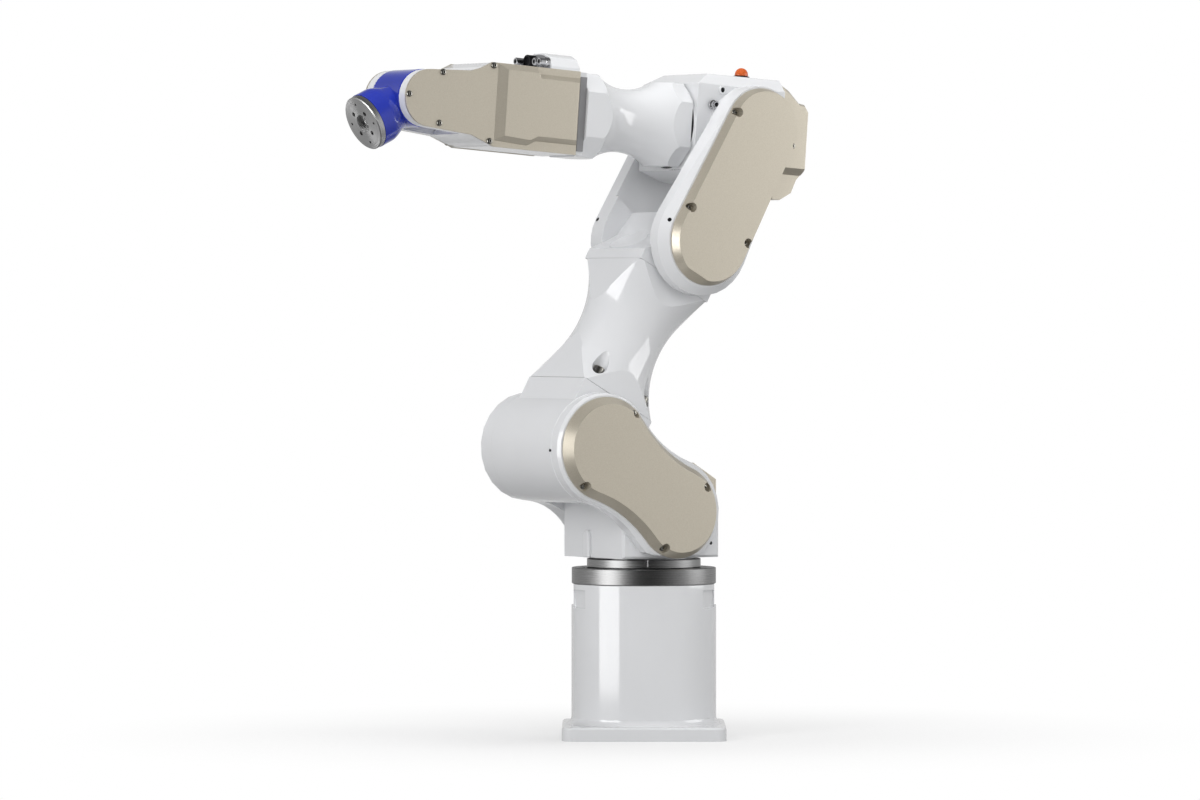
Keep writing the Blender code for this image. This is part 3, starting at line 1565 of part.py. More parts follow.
def wrist_outline():
    """Side outline of the wrist housing, from the tube to the round nose."""
    nose = arc((0.0, 0.0), WRIST_NOSE_RADIUS, -90, 90, 16)
    back = [(WRIST_BACK, WRIST_HALF_HEIGHT), (WRIST_BACK, -WRIST_HALF_HEIGHT)]
    return nose + list(WRIST_TOP_LINE) + back + list(WRIST_BOTTOM_LINE)


def build_wrist_housing():
    outline = wrist_outline()
    slot = cylinder(
        WRIST_SLOT_RADIUS, -WRIST_SLOT_HALF_WIDTH, WRIST_SLOT_HALF_WIDTH, "Y", steps=BIG_FACET_COUNT
    )
    motor_spots = wrist_motor_places()
    near_bore, far_bore = [
        cylinder(
            WRIST_MOTOR_RADIUS + GAP,
            side * (WRIST_HALF_WIDTH - WRIST_BELT_CHANNEL),
            side * (WRIST_HALF_WIDTH - WRIST_BELT_CHANNEL - WRIST_MOTOR_LENGTH - MOTOR_END_CLEARANCE),
            "Y",
            (x, 0.0, z),
        )
        for side, (x, z) in motor_spots.items()
    ]
    channels = [belt_channel(side, spot) for side, spot in motor_spots.items()]
    add_piece(
        "wrist_housing",
        "white_paint",
        forearm,
        prism(outline, -WRIST_HALF_WIDTH, WRIST_HALF_WIDTH, "Y"),
        [
            ("DIFFERENCE", slot),
            ("DIFFERENCE", channels[0]),
            ("DIFFERENCE", channels[1]),
            ("DIFFERENCE", near_bore),
            ("DIFFERENCE", far_bore),
        ],
    )


def wrist_motor_places():
    """Side of each wrist motor's belt, and the motor's place."""
    return {
        1: (WRIST_MOTOR_PLACE, WRIST_MOTOR_OFFSET),
        -1: (WRIST_MOTOR_PLACE, -WRIST_MOTOR_OFFSET),
    }


def belt_channel(side, spot):
    """Recess in the housing's side for a belt and its pulleys."""
    outline = between_circles(
        (0.0, 0.0), WRIST_DRIVEN_PULLEY_RADIUS + 4.0, spot, WRIST_MOTOR_RADIUS + 2.0, steps=6
    )
    inner = side * (WRIST_HALF_WIDTH - WRIST_BELT_CHANNEL)
    outer = side * (WRIST_HALF_WIDTH + CUT_OVERRUN)
    return prism(outline, inner, outer, "Y")


def build_wrist_covers():
    """Plates on both sides of the wrist, each with a raised rear panel."""
    middle = WRIST_PANEL_MIDDLE
    wider, taller = WRIST_PANEL_SPREAD
    foot = [
        (middle[0] + (x - middle[0]) * wider, middle[1] + (z - middle[1]) * taller)
        for x, z in WRIST_PANEL_LINE
    ]
    for side, name in ((1, "wrist_cover_near"), (-1, "wrist_cover_far")):
        seat = WRIST_HALF_WIDTH + GAP
        face = seat + WRIST_COVER_THICKNESS
        add_piece(
            name,
            "cover_satin",
            forearm,
            prism(cover_outline(), side * seat, side * face, "Y"),
            [
                (
                    "UNION",
                    lofted(
                        [
                            (foot, side * (face - WRIST_PANEL_SINK)),
                            (WRIST_PANEL_LINE, side * WRIST_PANEL_FACE),
                        ],
                        "Y",
                    ),
                )
            ],
        )


def cover_outline():
    """Side outline of the wrist's cover plates."""
    nose = arc((0.0, 0.0), WRIST_NOSE_RADIUS, -90, 90, 16)
    back = WRIST_BACK + WRIST_COVER_INSET
    reach = WRIST_HALF_HEIGHT + WRIST_COVER_OVERHANG
    end = [(back, reach), (back, -reach)]
    outline = nose + list(WRIST_TOP_LINE) + end + list(WRIST_BOTTOM_LINE)
    flat = WRIST_HALF_HEIGHT
    return [(x, z + math.copysign(WRIST_COVER_OVERHANG, z) if abs(z) == flat else z) for x, z in outline]


def build_connector_housing():
    """Low arched housing on top of the wrist, with the tool connector and air fittings in its front."""
    near = CONNECTOR_HOUSING_NEAR
    far = CONNECTOR_HOUSING_FAR
    low = WRIST_HALF_HEIGHT + GAP
    top = CONNECTOR_HOUSING_TOP
    section = [(near, low)] + [(near - inset, top + drop) for inset, drop in CONNECTOR_HOUSING_ARCH]
    section += [
        (far + inset, top + drop) for inset, drop in reversed(CONNECTOR_HOUSING_ARCH)
    ] + [(far, low)]
    add_piece(
        "wrist_connector_housing",
        "white_paint",
        forearm,
        prism(section, WRIST_BACK, CONNECTOR_HOUSING_FRONT, "X"),
    )
    front = CONNECTOR_HOUSING_FRONT + GAP
    bore = FITTING_BORE * 0.6
    for number, place in enumerate(WRIST_FITTING_PLACES, 1):
        shell = turned(
            [
                (bore, front),
                (bore + WRIST_FITTING_WALL, front),
                (bore + WRIST_FITTING_WALL, front + FITTING_REACH),
                (bore, front + FITTING_REACH),
            ],
            "X",
            (0.0, place, WRIST_FITTING_HEIGHT),
            TINY_FACET_COUNT,
        )
        add_piece(f"wrist_air_fitting_{number}", "turned_steel", forearm, shell)
    add_piece(
        "wrist_tool_connector",
        "black_oxide",
        forearm,
        turned(
            [
                (0.0, front),
                (TOOL_SHELL_RADIUS, front),
                (TOOL_SHELL_RADIUS, front + TOOL_SHELL_REACH),
                (TOOL_SHELL_RADIUS - SHELL_WALL, front + TOOL_SHELL_REACH),
                (TOOL_SHELL_RADIUS - SHELL_WALL, front + TOOL_SHELL_REACH - INSERT_RECESS),
                (0.0, front + TOOL_SHELL_REACH - INSERT_RECESS),
            ],
            "X",
            (0.0, *TOOL_SHELL_PLACE),
            20,
        ),
    )


def build_wrist_motors():
    """Motors of the fifth and sixth joints lie across the wrist, each with a belt on its own side."""
    for side, number in ((1, 5), (-1, 6)):
        spot = wrist_motor_places()[side]
        x, z = spot
        floor = WRIST_HALF_WIDTH - WRIST_BELT_CHANNEL
        add_piece(
            f"j{number}_motor",
            "motor_black",
            forearm,
            cylinder(
                WRIST_MOTOR_RADIUS,
                side * (floor - GAP),
                side * (floor - GAP - WRIST_MOTOR_LENGTH),
                "Y",
                (x, 0.0, z),
            ),
        )
        low = floor + GAP
        high = low + WRIST_PULLEY_WIDTH
        add_piece(
            f"j{number}_drive_pulley",
            "turned_steel",
            forearm,
            cylinder(WRIST_DRIVE_PULLEY_RADIUS, side * low, side * high, "Y", (x, 0.0, z), 24),
        )
        add_piece(
            f"j{number}_driven_pulley",
            "turned_steel",
            forearm,
            cylinder(WRIST_DRIVEN_PULLEY_RADIUS, side * low, side * high, "Y", (0.0, 0.0, 0.0), 24),
        )
        add_piece(
            f"j{number}_belt",
            "belt_rubber",
            forearm,
            belt(
                (0.0, 0.0),
                WRIST_DRIVEN_PULLEY_RADIUS,
                spot,
                WRIST_DRIVE_PULLEY_RADIUS,
                side * (low + WRIST_BELT_EDGE),
                side * (high - WRIST_BELT_EDGE),
            ),
        )


# Wrist and tool flange


def build_wrist():
    """Blue wrist: a drum across the fork and the barrel of the last joint at right angles to it."""
    barrel = [
        (0.0, BARREL_ROOT[1]),
        BARREL_ROOT,
        BARREL_NECK,
        (BARREL_RADIUS - BARREL_ROUNDING, BARREL_SHOULDER - BARREL_ROUNDING),
        (BARREL_RADIUS, BARREL_SHOULDER + 2 * BARREL_ROUNDING),
        (BARREL_RADIUS, BARREL_FRONT),
        (0.0, BARREL_FRONT),
    ]
    drum = [
        (0.0, -DRUM_HALF_WIDTH),
        (DRUM_RADIUS - DRUM_CHAMFER, -DRUM_HALF_WIDTH),
        (DRUM_RADIUS, DRUM_CHAMFER - DRUM_HALF_WIDTH),
        (DRUM_RADIUS, DRUM_HALF_WIDTH - DRUM_CHAMFER),
        (DRUM_RADIUS - DRUM_CHAMFER, DRUM_HALF_WIDTH),
        (0.0, DRUM_HALF_WIDTH),
    ]
    add_piece(
        "wrist_body",
        "wrist_blue",
        wrist,
        turned(drum, "Y", steps=BIG_FACET_COUNT),
        [
            ("UNION", turned(barrel, "X", steps=BIG_FACET_COUNT)),
            (
                "DIFFERENCE",
                cylinder(J6_REDUCER_RADIUS + GAP, J6_REDUCER_BACK - GAP, BARREL_FRONT + CUT_OVERRUN, "X"),
            ),
        ],
    )
    add_piece(
        "j6_reducer",
        "turned_steel",
        wrist,
        tube(J6_REDUCER_RADIUS, J6_REDUCER_BORE, J6_REDUCER_BACK, BARREL_FRONT - GAP, "X"),
    )
    back = BARREL_FRONT + GAP
    rim = [
        (0.0, back),
        (TOOL_RIM_RADIUS, back),
        (TOOL_RIM_RADIUS, FLANGE_REACH - TOOL_CHAMFER),
        (TOOL_FACE_RADIUS, FLANGE_REACH),
        (PILOT_RADIUS, FLANGE_REACH),
        (PILOT_RADIUS, FLANGE_REACH - PILOT_DEPTH),
        (0.0, FLANGE_REACH - PILOT_DEPTH),
    ]
    holes = []
    for quarter in range(4):
        angle = math.radians(45 + 90 * quarter)
        spot = (0.0, TOOL_BOLT_CIRCLE * math.cos(angle), TOOL_BOLT_CIRCLE * math.sin(angle))
        holes.append(
            cylinder(
                TOOL_BOLT_RADIUS,
                FLANGE_REACH - TOOL_BOLT_DEPTH,
                FLANGE_REACH + CUT_OVERRUN,
                "X",
                spot,
                TINY_FACET_COUNT,
            )
        )
    add_piece(
        "tool_flange",
        "turned_steel",
        tool,
        turned(rim, "X", steps=BIG_FACET_COUNT),
        [("DIFFERENCE", group(holes))],
    )


clear_scene()
finishes = make_finishes()
base = add_frame("base_frame", None)
shoulder = add_frame("shoulder_axis", base, turn=ARM_YAW, axis="Z")
lower_arm = add_frame("lower_arm_axis", shoulder, (SHOULDER_OFFSET, 0, SHOULDER_HEIGHT), -LOWER_ARM_LEAN)
elbow = add_frame("elbow_axis", lower_arm, (0, 0, LOWER_ARM_LENGTH), LOWER_ARM_LEAN - FOREARM_PITCH)
forearm = add_frame("forearm_axis", elbow, (FOREARM_LENGTH, 0, 0), 0.0, "X")
wrist = add_frame("wrist_axis", forearm, turn=WRIST_BEND)
tool = add_frame("tool_axis", wrist, turn=0.0, axis="X")
build_base()
build_shoulder()
build_lower_arm()
build_elbow()
build_forearm()
build_wrist()
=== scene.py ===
"""Looks of a six-axis robot arm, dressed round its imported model.

Lengths are millimetres in each link's own frame (X forward, Y to the side of the belt
covers, Z up the link) and become metres in the model's frame when a mesh is made.
"""

import json
import math

import bmesh
import bpy
import numpy as np
from mathutils import Matrix, Vector


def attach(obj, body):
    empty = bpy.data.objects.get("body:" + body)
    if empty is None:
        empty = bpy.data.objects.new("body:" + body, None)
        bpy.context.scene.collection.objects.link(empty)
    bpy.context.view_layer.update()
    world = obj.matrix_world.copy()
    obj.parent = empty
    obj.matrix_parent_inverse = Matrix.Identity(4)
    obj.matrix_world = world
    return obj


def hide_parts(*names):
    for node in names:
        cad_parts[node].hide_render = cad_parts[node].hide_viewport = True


MM = 0.001
MERGE = 2e-6
SHARP_ANGLE = math.radians(28)
SAME_FACE = math.radians(0.6)
CUT_OVERRUN = 5.0

# Facets of round pieces and cuts, and steps of their curves
FINE_ROUND = 128
SMALL_ROUND = 40
POCKET_ROUND = 32
BOLT_POCKET_ROUND = 48
HOLE_ROUND = 28
KEYWAY_ROUND = 24
SCREW_ROUND = 36
DOME_LEVELS = 7
BALL_ROUND = 64
BALL_LEVELS = 33
BALL_POLE = 1.56
TUBE_LEVELS = 49
RIB_STEPS = 16
ARCH_STEPS = 24

# Widths of rounded edges
CASTING_EDGE = 0.8
SKIN_EDGE = 0.5
COVER_EDGE = 0.35
SMALL_EDGE = 0.3
FLANGE_EDGE = 0.2

# Most of a noise lies between these values
NOISE_MIDDLE = {"From Min": 0.3, "From Max": 0.7}

# Camera, as fitted to the photograph, its place and reach in metres
CAMERA_PLACE = (-0.0483, -7.9277, 0.4959)
CAMERA_DOWN = 0.9
CAMERA_LENS = 215.8
CAMERA_REACH = 60.0
SENSOR_WIDTH = 36.0

# Belt covers of the second and third joints
HUB_PLACE = (100.0, 320.0)
J2_MOTOR_PLACE = (7.0, 250.0)
J2_COVER_SEAT = 76.3
J2_COVER_FACE = 88.0
J2_RIM_RADII = (56.6, 51.0)
J2_FACE_RADII = (49.0, 44.0)
J2_RIM_WAIST = 152.0
J2_FACE_WAIST = 160.0
J2_SCREWS = ((132.0, 280.0), (66.0, 358.5), (29.0, 211.0), (-26.5, 277.0))
J3_MOTOR_PLACE = (1.0, 259.0)
J3_HEAD_PLACE = (0.0, 400.0)
J3_COVER_SEAT = 88.3
J3_COVER_FACE = 100.0
J3_RIM_RADII = (49.0, 45.0)
J3_FACE_RADII = (44.6, 41.5)
J3_RIM_FLAT = 210.0
J3_FACE_FLAT = 217.0
J3_SCREWS = ((40.5, 398.0), (-44.0, 404.0), (43.0, 277.0), (-40.0, 279.0))
COVER_LIP = 2.0
COVER_LIP_ROUND = 0.4
BEVEL_START = 0.03
BEVEL_END = 0.93
EDGE_ROUND = 0.9
EDGE_STEPS = 4
POCKET_RADIUS = 5.2
POCKET_RISE = 2.6

# Button screws: size, then shares of the height and radius, and the dome's end in degrees
SCREW_RADIUS = 3.5
SCREW_HEIGHT = 2.6
SCREW_SKIRT = 0.25
SCREW_DOME_END = 62.0
SOCKET_RADIUS = 0.44
SOCKET_TAPER = 0.97
SOCKET_FLOOR = 0.3

# Small drilled holes: place, outward direction and radius. No hole is cut; its shade is painted as a dark disc in
# its mouth
BOSS_MARK = ((161.3, 58.8, 319.0), (1, 0, 0), 1.7)
SHOULDER_HOLE = ((-48.5, 60.0, 214.5), (0, 1, 0), 1.9)
FAR_PIN = ((46.0, -74.2, 261.8), (1, 0, 0.03), 2.3)
NEAR_PIN = ((54.4, 85.0, 255.3), (0.74, 0.68, 0), 2.3)
PORT_HOLE = ((28.5, 50.4, 41.7), (0, 1, 0), 3.2)
ELBOW_HOLE = ((43.0, 50.0, 2.0), (0, 1, 0), 1.3)
# Depth and stand of each hole's dark disc of painted shade
HOLE_SHADE_DEPTH = 1.0
HOLE_SHADE_STAND = 0.12

# Air fittings
FITTING_BORE_RADIUS = 2.4
FITTING_COLLAR = ((5.3, 0.0), (5.3, 3.4), (4.9, 4.0), (4.2, 4.4))
FITTING_TIP_RADIUS = 3.6
FITTING_TIP_LENGTH = 0.8
BORE_PLUG_RADIUS = 2.5
BORE_PLUG_START = 0.5
BORE_PLUG_SINK = 2.0

# Base tower and the steel rings above it; a ring is its inner and outer radius, low and high level
TOWER_RADIUS = 79.75
TOWER_TOP = 169.3
TOWER_CHAMFER = 0.6
TOWER_FLAT = 77.4
TOWER_FLAT_BOTTOM = 146.0
TOWER_LEVELS = (22.0, 60.0, 100.0, 140.0, TOWER_FLAT_BOTTOM, 164.0)
TOWER_WALL_INSIDE = 78.0
TOWER_NECK_RADIUS = 61.5
TOWER_NECK_LEVEL = 129.0
TOWER_NECK_SPACE = 0.1
TOWER_CUT_REACH = 95.0
TOWER_CUT_TOP = 175.0
NECK_CUT_REACH = 110.0
TOWER_NOTCH_TURN = 65.0
TOWER_NOTCH_LEVEL = 153.2
TOWER_NOTCH_SIZE = (29.0, 19.5, 3.2)
BEARING_RING = (50.0, 79.5, 169.4, 187.2)
BEARING_RING_CHAMFER = 0.7
RING_BOLT_COUNT = 8
RING_BOLT_START = 22.5
RING_BOLT_CIRCLE = 71.0
RING_SINK_RADIUS = 3.7
RING_SINK_FLOOR = 183.7
RING_BOLT_HEAD = (3.3, 3.2)
OUTPUT_FLANGE = (20.0, 62.7, 187.6, 197.0)
OUTPUT_FLANGE_CHAMFER = 0.6
KEYWAY_PLACE = (3.0, -62.9)
KEYWAY_RADIUS = 2.2
KEYWAY_FLOOR = 189.6

# Shoulder: rib, and the seam at the drum
RIB_MIDDLE = -10.0
RIB_FOOT = 199.6
RIB_TOP = 222.0
RIB_HALF_WIDTH = 7.0
RIB_ROUND = 1.6
RIB_LEVELS = (66.0, 69.2, 70.8)
BOSS_BAND = ((57.0, 57.2), (60.6, 57.2), (61.4, 58.0), (61.4, 59.6), (60.4, 60.4), (57.0, 60.4))
DRUM_SEAL = (57.0, 60.4, 56.75, 57.2)

# Waisted tube of the lower arm and its bolts
ARM_DEPTH = 50.0
ARM_WIDTH = 56.0
WAIST_BOTTOM = 61.3
WAIST_TOP = 210.0
WAIST_MIDDLE = 137.0
WAIST_RADIUS = 48.0
WAIST_CURVE = 125.0
TUBE_BOLT_SEAT = 71.0
TUBE_BOLT_ACROSS = 33.0
TUBE_BOLT_ASIDE = 46.0
TUBE_BOLT_RADIUS = 6.3
TUBE_BOLT_HEIGHT = 12.0
TUBE_BOLT_SINK = 4.0
TUBE_BOLT_CHAMFER = 0.8
TUBE_BOLT_SOCKET = 3.4
TUBE_BOLT_SOCKET_DEPTH = 4.0
BOLT_POCKET_RADIUS = 9.0
BOLT_POCKET_SHOULDER = 82.0
BOLT_POCKET_TIP = 124.0

# Fork: middle and half size of the hollow in its web
SCOOP_MIDDLE = (50.0, -9.0, 256.0)
SCOOP_HALF = (26.0, 40.0, 32.0)

# Elbow
PORT_PLACE = (28.5, 50.0, 41.7)
PORT_PROFILE = ((2.9, -0.5), (4.8, -0.5), (4.8, 1.6), (4.2, 2.2), (2.9, 2.2))
ELBOW_FITTING_UPPER = (40.5, 50.0, 24.3)
ELBOW_FITTING_LOWER = (48.0, 50.0, -21.0)
ELBOW_FITTING_REACH = 9.0
FOREARM_SEAL = (38.0, 47.2, 60.9, 62.4)
COVER_STEP_OUTLINE = ((44.6, -35.0), (37.0, -43.0), (37.0, -80.0), (60.0, -80.0), (60.0, -35.0))
COVER_STEP_DEPTH = (-110.0, -40.0)

# Forearm tube
TUBE_BACK = -337.0
TUBE_FRONT = -200.0
TUBE_NECK = -273.0
TUBE_NECK_RADIUS = 34.8
TUBE_CURVE = 77.0
TUBE_END_RADIUS = 52.0
TUBE_FLAT = 46.0
TUBE_VERTEX = 25.0

# Wrist covers, end plate by its opposite corners, and connector housing; the end plate and the housing's arched
# front are grey to paint the shade on those faces
WRIST_SCREWS = ((27.0, 2.0), (-14.0, 29.0), (-78.0, 42.0), (-13.0, -26.0), (-78.0, -40.0))
WRIST_COVER_FACE = 42.7
WRIST_PANEL_LINE = (
    (-94.0, 39.0),
    (-134.0, 39.0),
    (-136.0, 33.0),
    (-186.0, 33.0),
    (-186.0, -30.0),
    (-137.0, -30.0),
    (-127.0, -35.0),
    (-94.0, -33.0),
)
WRIST_PANEL_MIDDLE = (-140.0, 2.0)
WRIST_PANEL_SPREAD = (1.1, 1.17)
WRIST_PANEL_FRONT = -83.0
WRIST_PANEL_FACE = 48.2
WRIST_PANEL_SINK = 0.4
END_SHADE_PLATE = ((-199.4, 39.5, -41.0), (-190.9, 42.2, 40.0))
CONNECTOR_MIDDLE = (-2.0, 48.95)
CONNECTOR_HALF = (25.0, 13.75)
CONNECTOR_FOOT = 46.5
CONNECTOR_ARCH_START = 15.0
CONNECTOR_LEVELS = (-163.2, -162.6)

# Wrist fittings: level of all, then aside, height, reach and the node that each replaces
WRIST_FITTING_LEVEL = -162.7
WRIST_FITTINGS = (
    (8.0, 54.0, 12.0, "wrist_air_fitting_1"),
    (18.0, 54.0, 12.0, "wrist_air_fitting_2"),
    (-22.0, 54.5, 17.0, None),
)

# Blue wrist and tool flange, along the last axis
DRUM_RADIUS = 31.3
DRUM_HALF_WIDTH = 27.9
DRUM_CHAMFER = 1.2
BARREL_ROOT = (
    (21.0, 8.0),
    (26.4, 30.0),
    (28.0, 33.6),
    (29.3, 36.8),
    (30.3, 39.8),
    (30.9, 42.6),
    (31.0, 44.5),
)
BARREL_END = 58.0
DRUM_PLUG_ASIDE = 15.5
DRUM_PLUG_RADIUS = 1.6
DRUM_PLUG_HEIGHT = 0.35
DRUM_PLUG_SINK = 0.15
FLANGE_RADIUS = 30.4
FLANGE_BACK = 58.3
FLANGE_FACE = 65.0
FLANGE_CHAMFER = 0.9
PILOT_RADIUS = 10.0
PILOT_FLOOR = 60.0
CENTRE_HOLE_RADIUS = 4.0
CENTRE_HOLE_FLOOR = 58.9

# Tool flange's holes: radius of their circle, their own radius, and first angle in degrees
TAPPED_HOLES = (15.75, 2.5, 45.0)
DOWEL_HOLES = (22.0, 1.5, 0.0)
FLANGE_HOLE_FLOOR = 59.5

# Studio, in metres: the floor's shadow fades from full near the foot to none
FLOOR_HALF = 12.0
SHADOW_FULL = 0.15
SHADOW_END = 0.7
SHADOW_SHARE = 0.6
AIM = (0.0, 0.0, 0.4)

# World: its soft light, and what mirrors see of it before and behind the arm, and overhead
SOFT_STRENGTH = 0.39
MIRROR_BEFORE = 0.03
MIRROR_BEHIND = 0.62
MIRROR_FADE = (-1.0, -0.45)
STEEP_SHARE = 0.25
STEEP_FADE = (0.2, 0.65)

# Lights, in metres: name, place, size, radiance, whether mirrors show it, whether it lights surfaces
LIGHTS = (
    ("left_softbox", (-1.4, -0.92, 0.55), (1.1, 1.2), 4.6, True, False),
    ("right_softbox", (1.95, 0.05, 0.72), (1.2, 1.25), 3.0, True, False),
    ("left_fill", (-1.5, -1.9, 1.1), (0.9, 1.2), 5.2, False, True),
    ("right_fill", (2.3, -0.6, 1.1), (1.0, 1.3), 1.5, False, True),
    ("top_softbox", (0.1, 0.1, 2.6), (2.0, 2.0), 2.6, False, True),
    ("front_fill", (0.6, -4.0, 2.4), (2.0, 2.0), 3.2, False, True),
)

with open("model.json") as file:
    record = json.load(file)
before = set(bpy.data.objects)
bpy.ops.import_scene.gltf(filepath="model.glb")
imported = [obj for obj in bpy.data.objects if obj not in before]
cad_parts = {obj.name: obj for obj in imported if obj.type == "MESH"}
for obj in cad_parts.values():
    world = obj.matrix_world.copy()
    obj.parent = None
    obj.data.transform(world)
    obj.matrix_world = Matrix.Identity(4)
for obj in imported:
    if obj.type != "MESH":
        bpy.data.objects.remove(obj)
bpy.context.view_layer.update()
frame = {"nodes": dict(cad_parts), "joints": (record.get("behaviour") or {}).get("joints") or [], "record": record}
joints = {joint["name"]: joint for joint in frame["joints"]}
body_of_node = {
    node: body for body, nodes in frame["record"]["behaviour"]["bodies"].items() for node in nodes
}


# Link frames


def link_frame(origin, forward, side):
    """Matrix of a link: forward is its X, side its Y, and Z completes the right-handed frame."""
    x = Vector(forward).normalized()
    y = Vector(side).normalized()
    turn = Matrix((x, y, x.cross(y))).transposed().to_4x4()
    return Matrix.Translation(Vector(origin)) @ turn


def joint_place(name):
    """Place of a joint, in metres."""
    return Vector(joints[name]["pos_m"])


def joint_axis(name):
    """Direction of a joint's axis."""
    return Vector(joints[name]["axis"])


near_side = joint_axis("j2_shoulder")
arm_up = (joint_place("j3_elbow") - joint_place("j2_shoulder")).normalized()
BASE = Matrix.Identity(4)
SHOULDER = link_frame((0, 0, 0), near_side.cross(Vector((0, 0, 1))), near_side)
LOWER_ARM = link_frame(joint_place("j2_shoulder"), near_side.cross(arm_up), near_side)
ELBOW = link_frame(joint_place("j3_elbow"), joint_axis("j4_forearm_roll"), near_side)
FOREARM = link_frame(joint_place("j5_wrist_bend"), joint_axis("j4_forearm_roll"), near_side)
WRIST = link_frame(joint_place("j5_wrist_bend"), joint_axis("j6_tool_roll"), near_side)


# Materials


def linear(code):
    """sRGB hex colour as linear RGBA."""
    channels = np.array([int(code[i : i + 2], 16) / 255 for i in (0, 2, 4)])
    curve = np.where(channels <= 0.04045, channels / 12.92, ((channels + 0.055) / 1.055) ** 2.4)
    return (*curve.tolist(), 1.0)


def add_node(tree, kind, settings=None, links=None):
    """Adds a node, sets its properties or input values, and links outputs to its inputs."""
    made = tree.nodes.new(kind)
    for name, value in (settings or {}).items():
        if isinstance(name, int) or name in made.inputs:
            made.inputs[name].default_value = value
        else:
            setattr(made, name, value)
    for name, output in (links or {}).items():
        tree.links.new(output, made.inputs[name])
    return made


def new_material(name):
    """Empty node material with its output, and the object's own coordinates."""
    material = bpy.data.materials.new(name)
    material.use_nodes = True
    tree = material.node_tree
    tree.nodes.clear()
    output = add_node(tree, "ShaderNodeOutputMaterial")
    place = add_node(tree, "ShaderNodeTexCoord").outputs["Object"]
    return material, tree, output, place


def grains(size_mm):
    """Scale of a noise whose grains are about that many millimetres across."""
    return 1 / (size_mm * MM)


def gloss_enamel(name, colour, shade, roughness, peel):
    """Sprayed enamel on a casting: glossy, with orange peel about 1.6 mm across and a faint drift of tone."""
    material, tree, output, place = new_material(name)
    drift = add_node(tree, "ShaderNodeTexNoise", {"Scale": grains(60.0), "Detail": 2.0}, {"Vector": place})
    clouds = add_node(tree, "ShaderNodeTexNoise", {"Scale": grains(18.0), "Detail": 2.0}, {"Vector": place})
    peels = add_node(tree, "ShaderNodeTexNoise", {"Scale": grains(1.6), "Detail": 1.0}, {"Vector": place})
    bump = add_node(
        tree, "ShaderNodeBump", {"Strength": 1.0, "Distance": peel * MM}, {"Height": peels.outputs["Fac"]}
    )
    tone = add_node(
        tree,
        "ShaderNodeMix",
        {"data_type": "RGBA", 6: linear(shade), 7: linear(colour)},
        {0: drift.outputs["Fac"]},
    )
    sheen = add_node(
        tree,
        "ShaderNodeMapRange",
        {**NOISE_MIDDLE, "To Min": roughness - 0.02, "To Max": roughness + 0.02},
        {"Value": clouds.outputs["Fac"]},
    )
    shader = add_node(
        tree,
        "ShaderNodeBsdfPrincipled",
        {"IOR": 1.5, "Coat Weight": 0.35, "Coat Roughness": 0.05},
        {
            "Base Color": tone.outputs[2],
            "Roughness": sheen.outputs["Result"],
            "Normal": bump.outputs["Normal"],
        },
    )
    tree.links.new(shader.outputs["BSDF"], output.inputs["Surface"])
    return material


def champagne_paint(name, colour, shade):
    """Satin metallic paint: fine flakes, drawn 0.9 mm across to show, that brighten where light strikes."""
    material, tree, output, place = new_material(name)
    flakes = add_node(tree, "ShaderNodeTexNoise", {"Scale": grains(0.9), "Detail": 2.0}, {"Vector": place})
    clouds = add_node(tree, "ShaderNodeTexNoise", {"Scale": grains(3.0), "Detail": 2.0}, {"Vector": place})
    bump = add_node(
        tree, "ShaderNodeBump", {"Strength": 0.4, "Distance": 0.01 * MM}, {"Height": flakes.outputs["Fac"]}
    )
    clear_flakes = add_node(tree, "ShaderNodeMapRange", NOISE_MIDDLE, {"Value": flakes.outputs["Fac"]})
    tone = add_node(
        tree,
        "ShaderNodeMix",
        {"data_type": "RGBA", 6: linear(shade), 7: linear(colour)},
        {0: clear_flakes.outputs["Result"]},
    )
    sheen = add_node(
        tree,
        "ShaderNodeMapRange",
        {**NOISE_MIDDLE, "To Min": 0.32, "To Max": 0.38},
        {"Value": clouds.outputs["Fac"]},
    )
    shader = add_node(
        tree,
        "ShaderNodeBsdfPrincipled",
        {"Metallic": 0.45, "Coat Weight": 0.1, "Coat Roughness": 0.3},
        {
            "Base Color": tone.outputs[2],
            "Roughness": sheen.outputs["Result"],
            "Normal": bump.outputs["Normal"],
        },
    )
    tree.links.new(shader.outputs["BSDF"], output.inputs["Surface"])
    return material


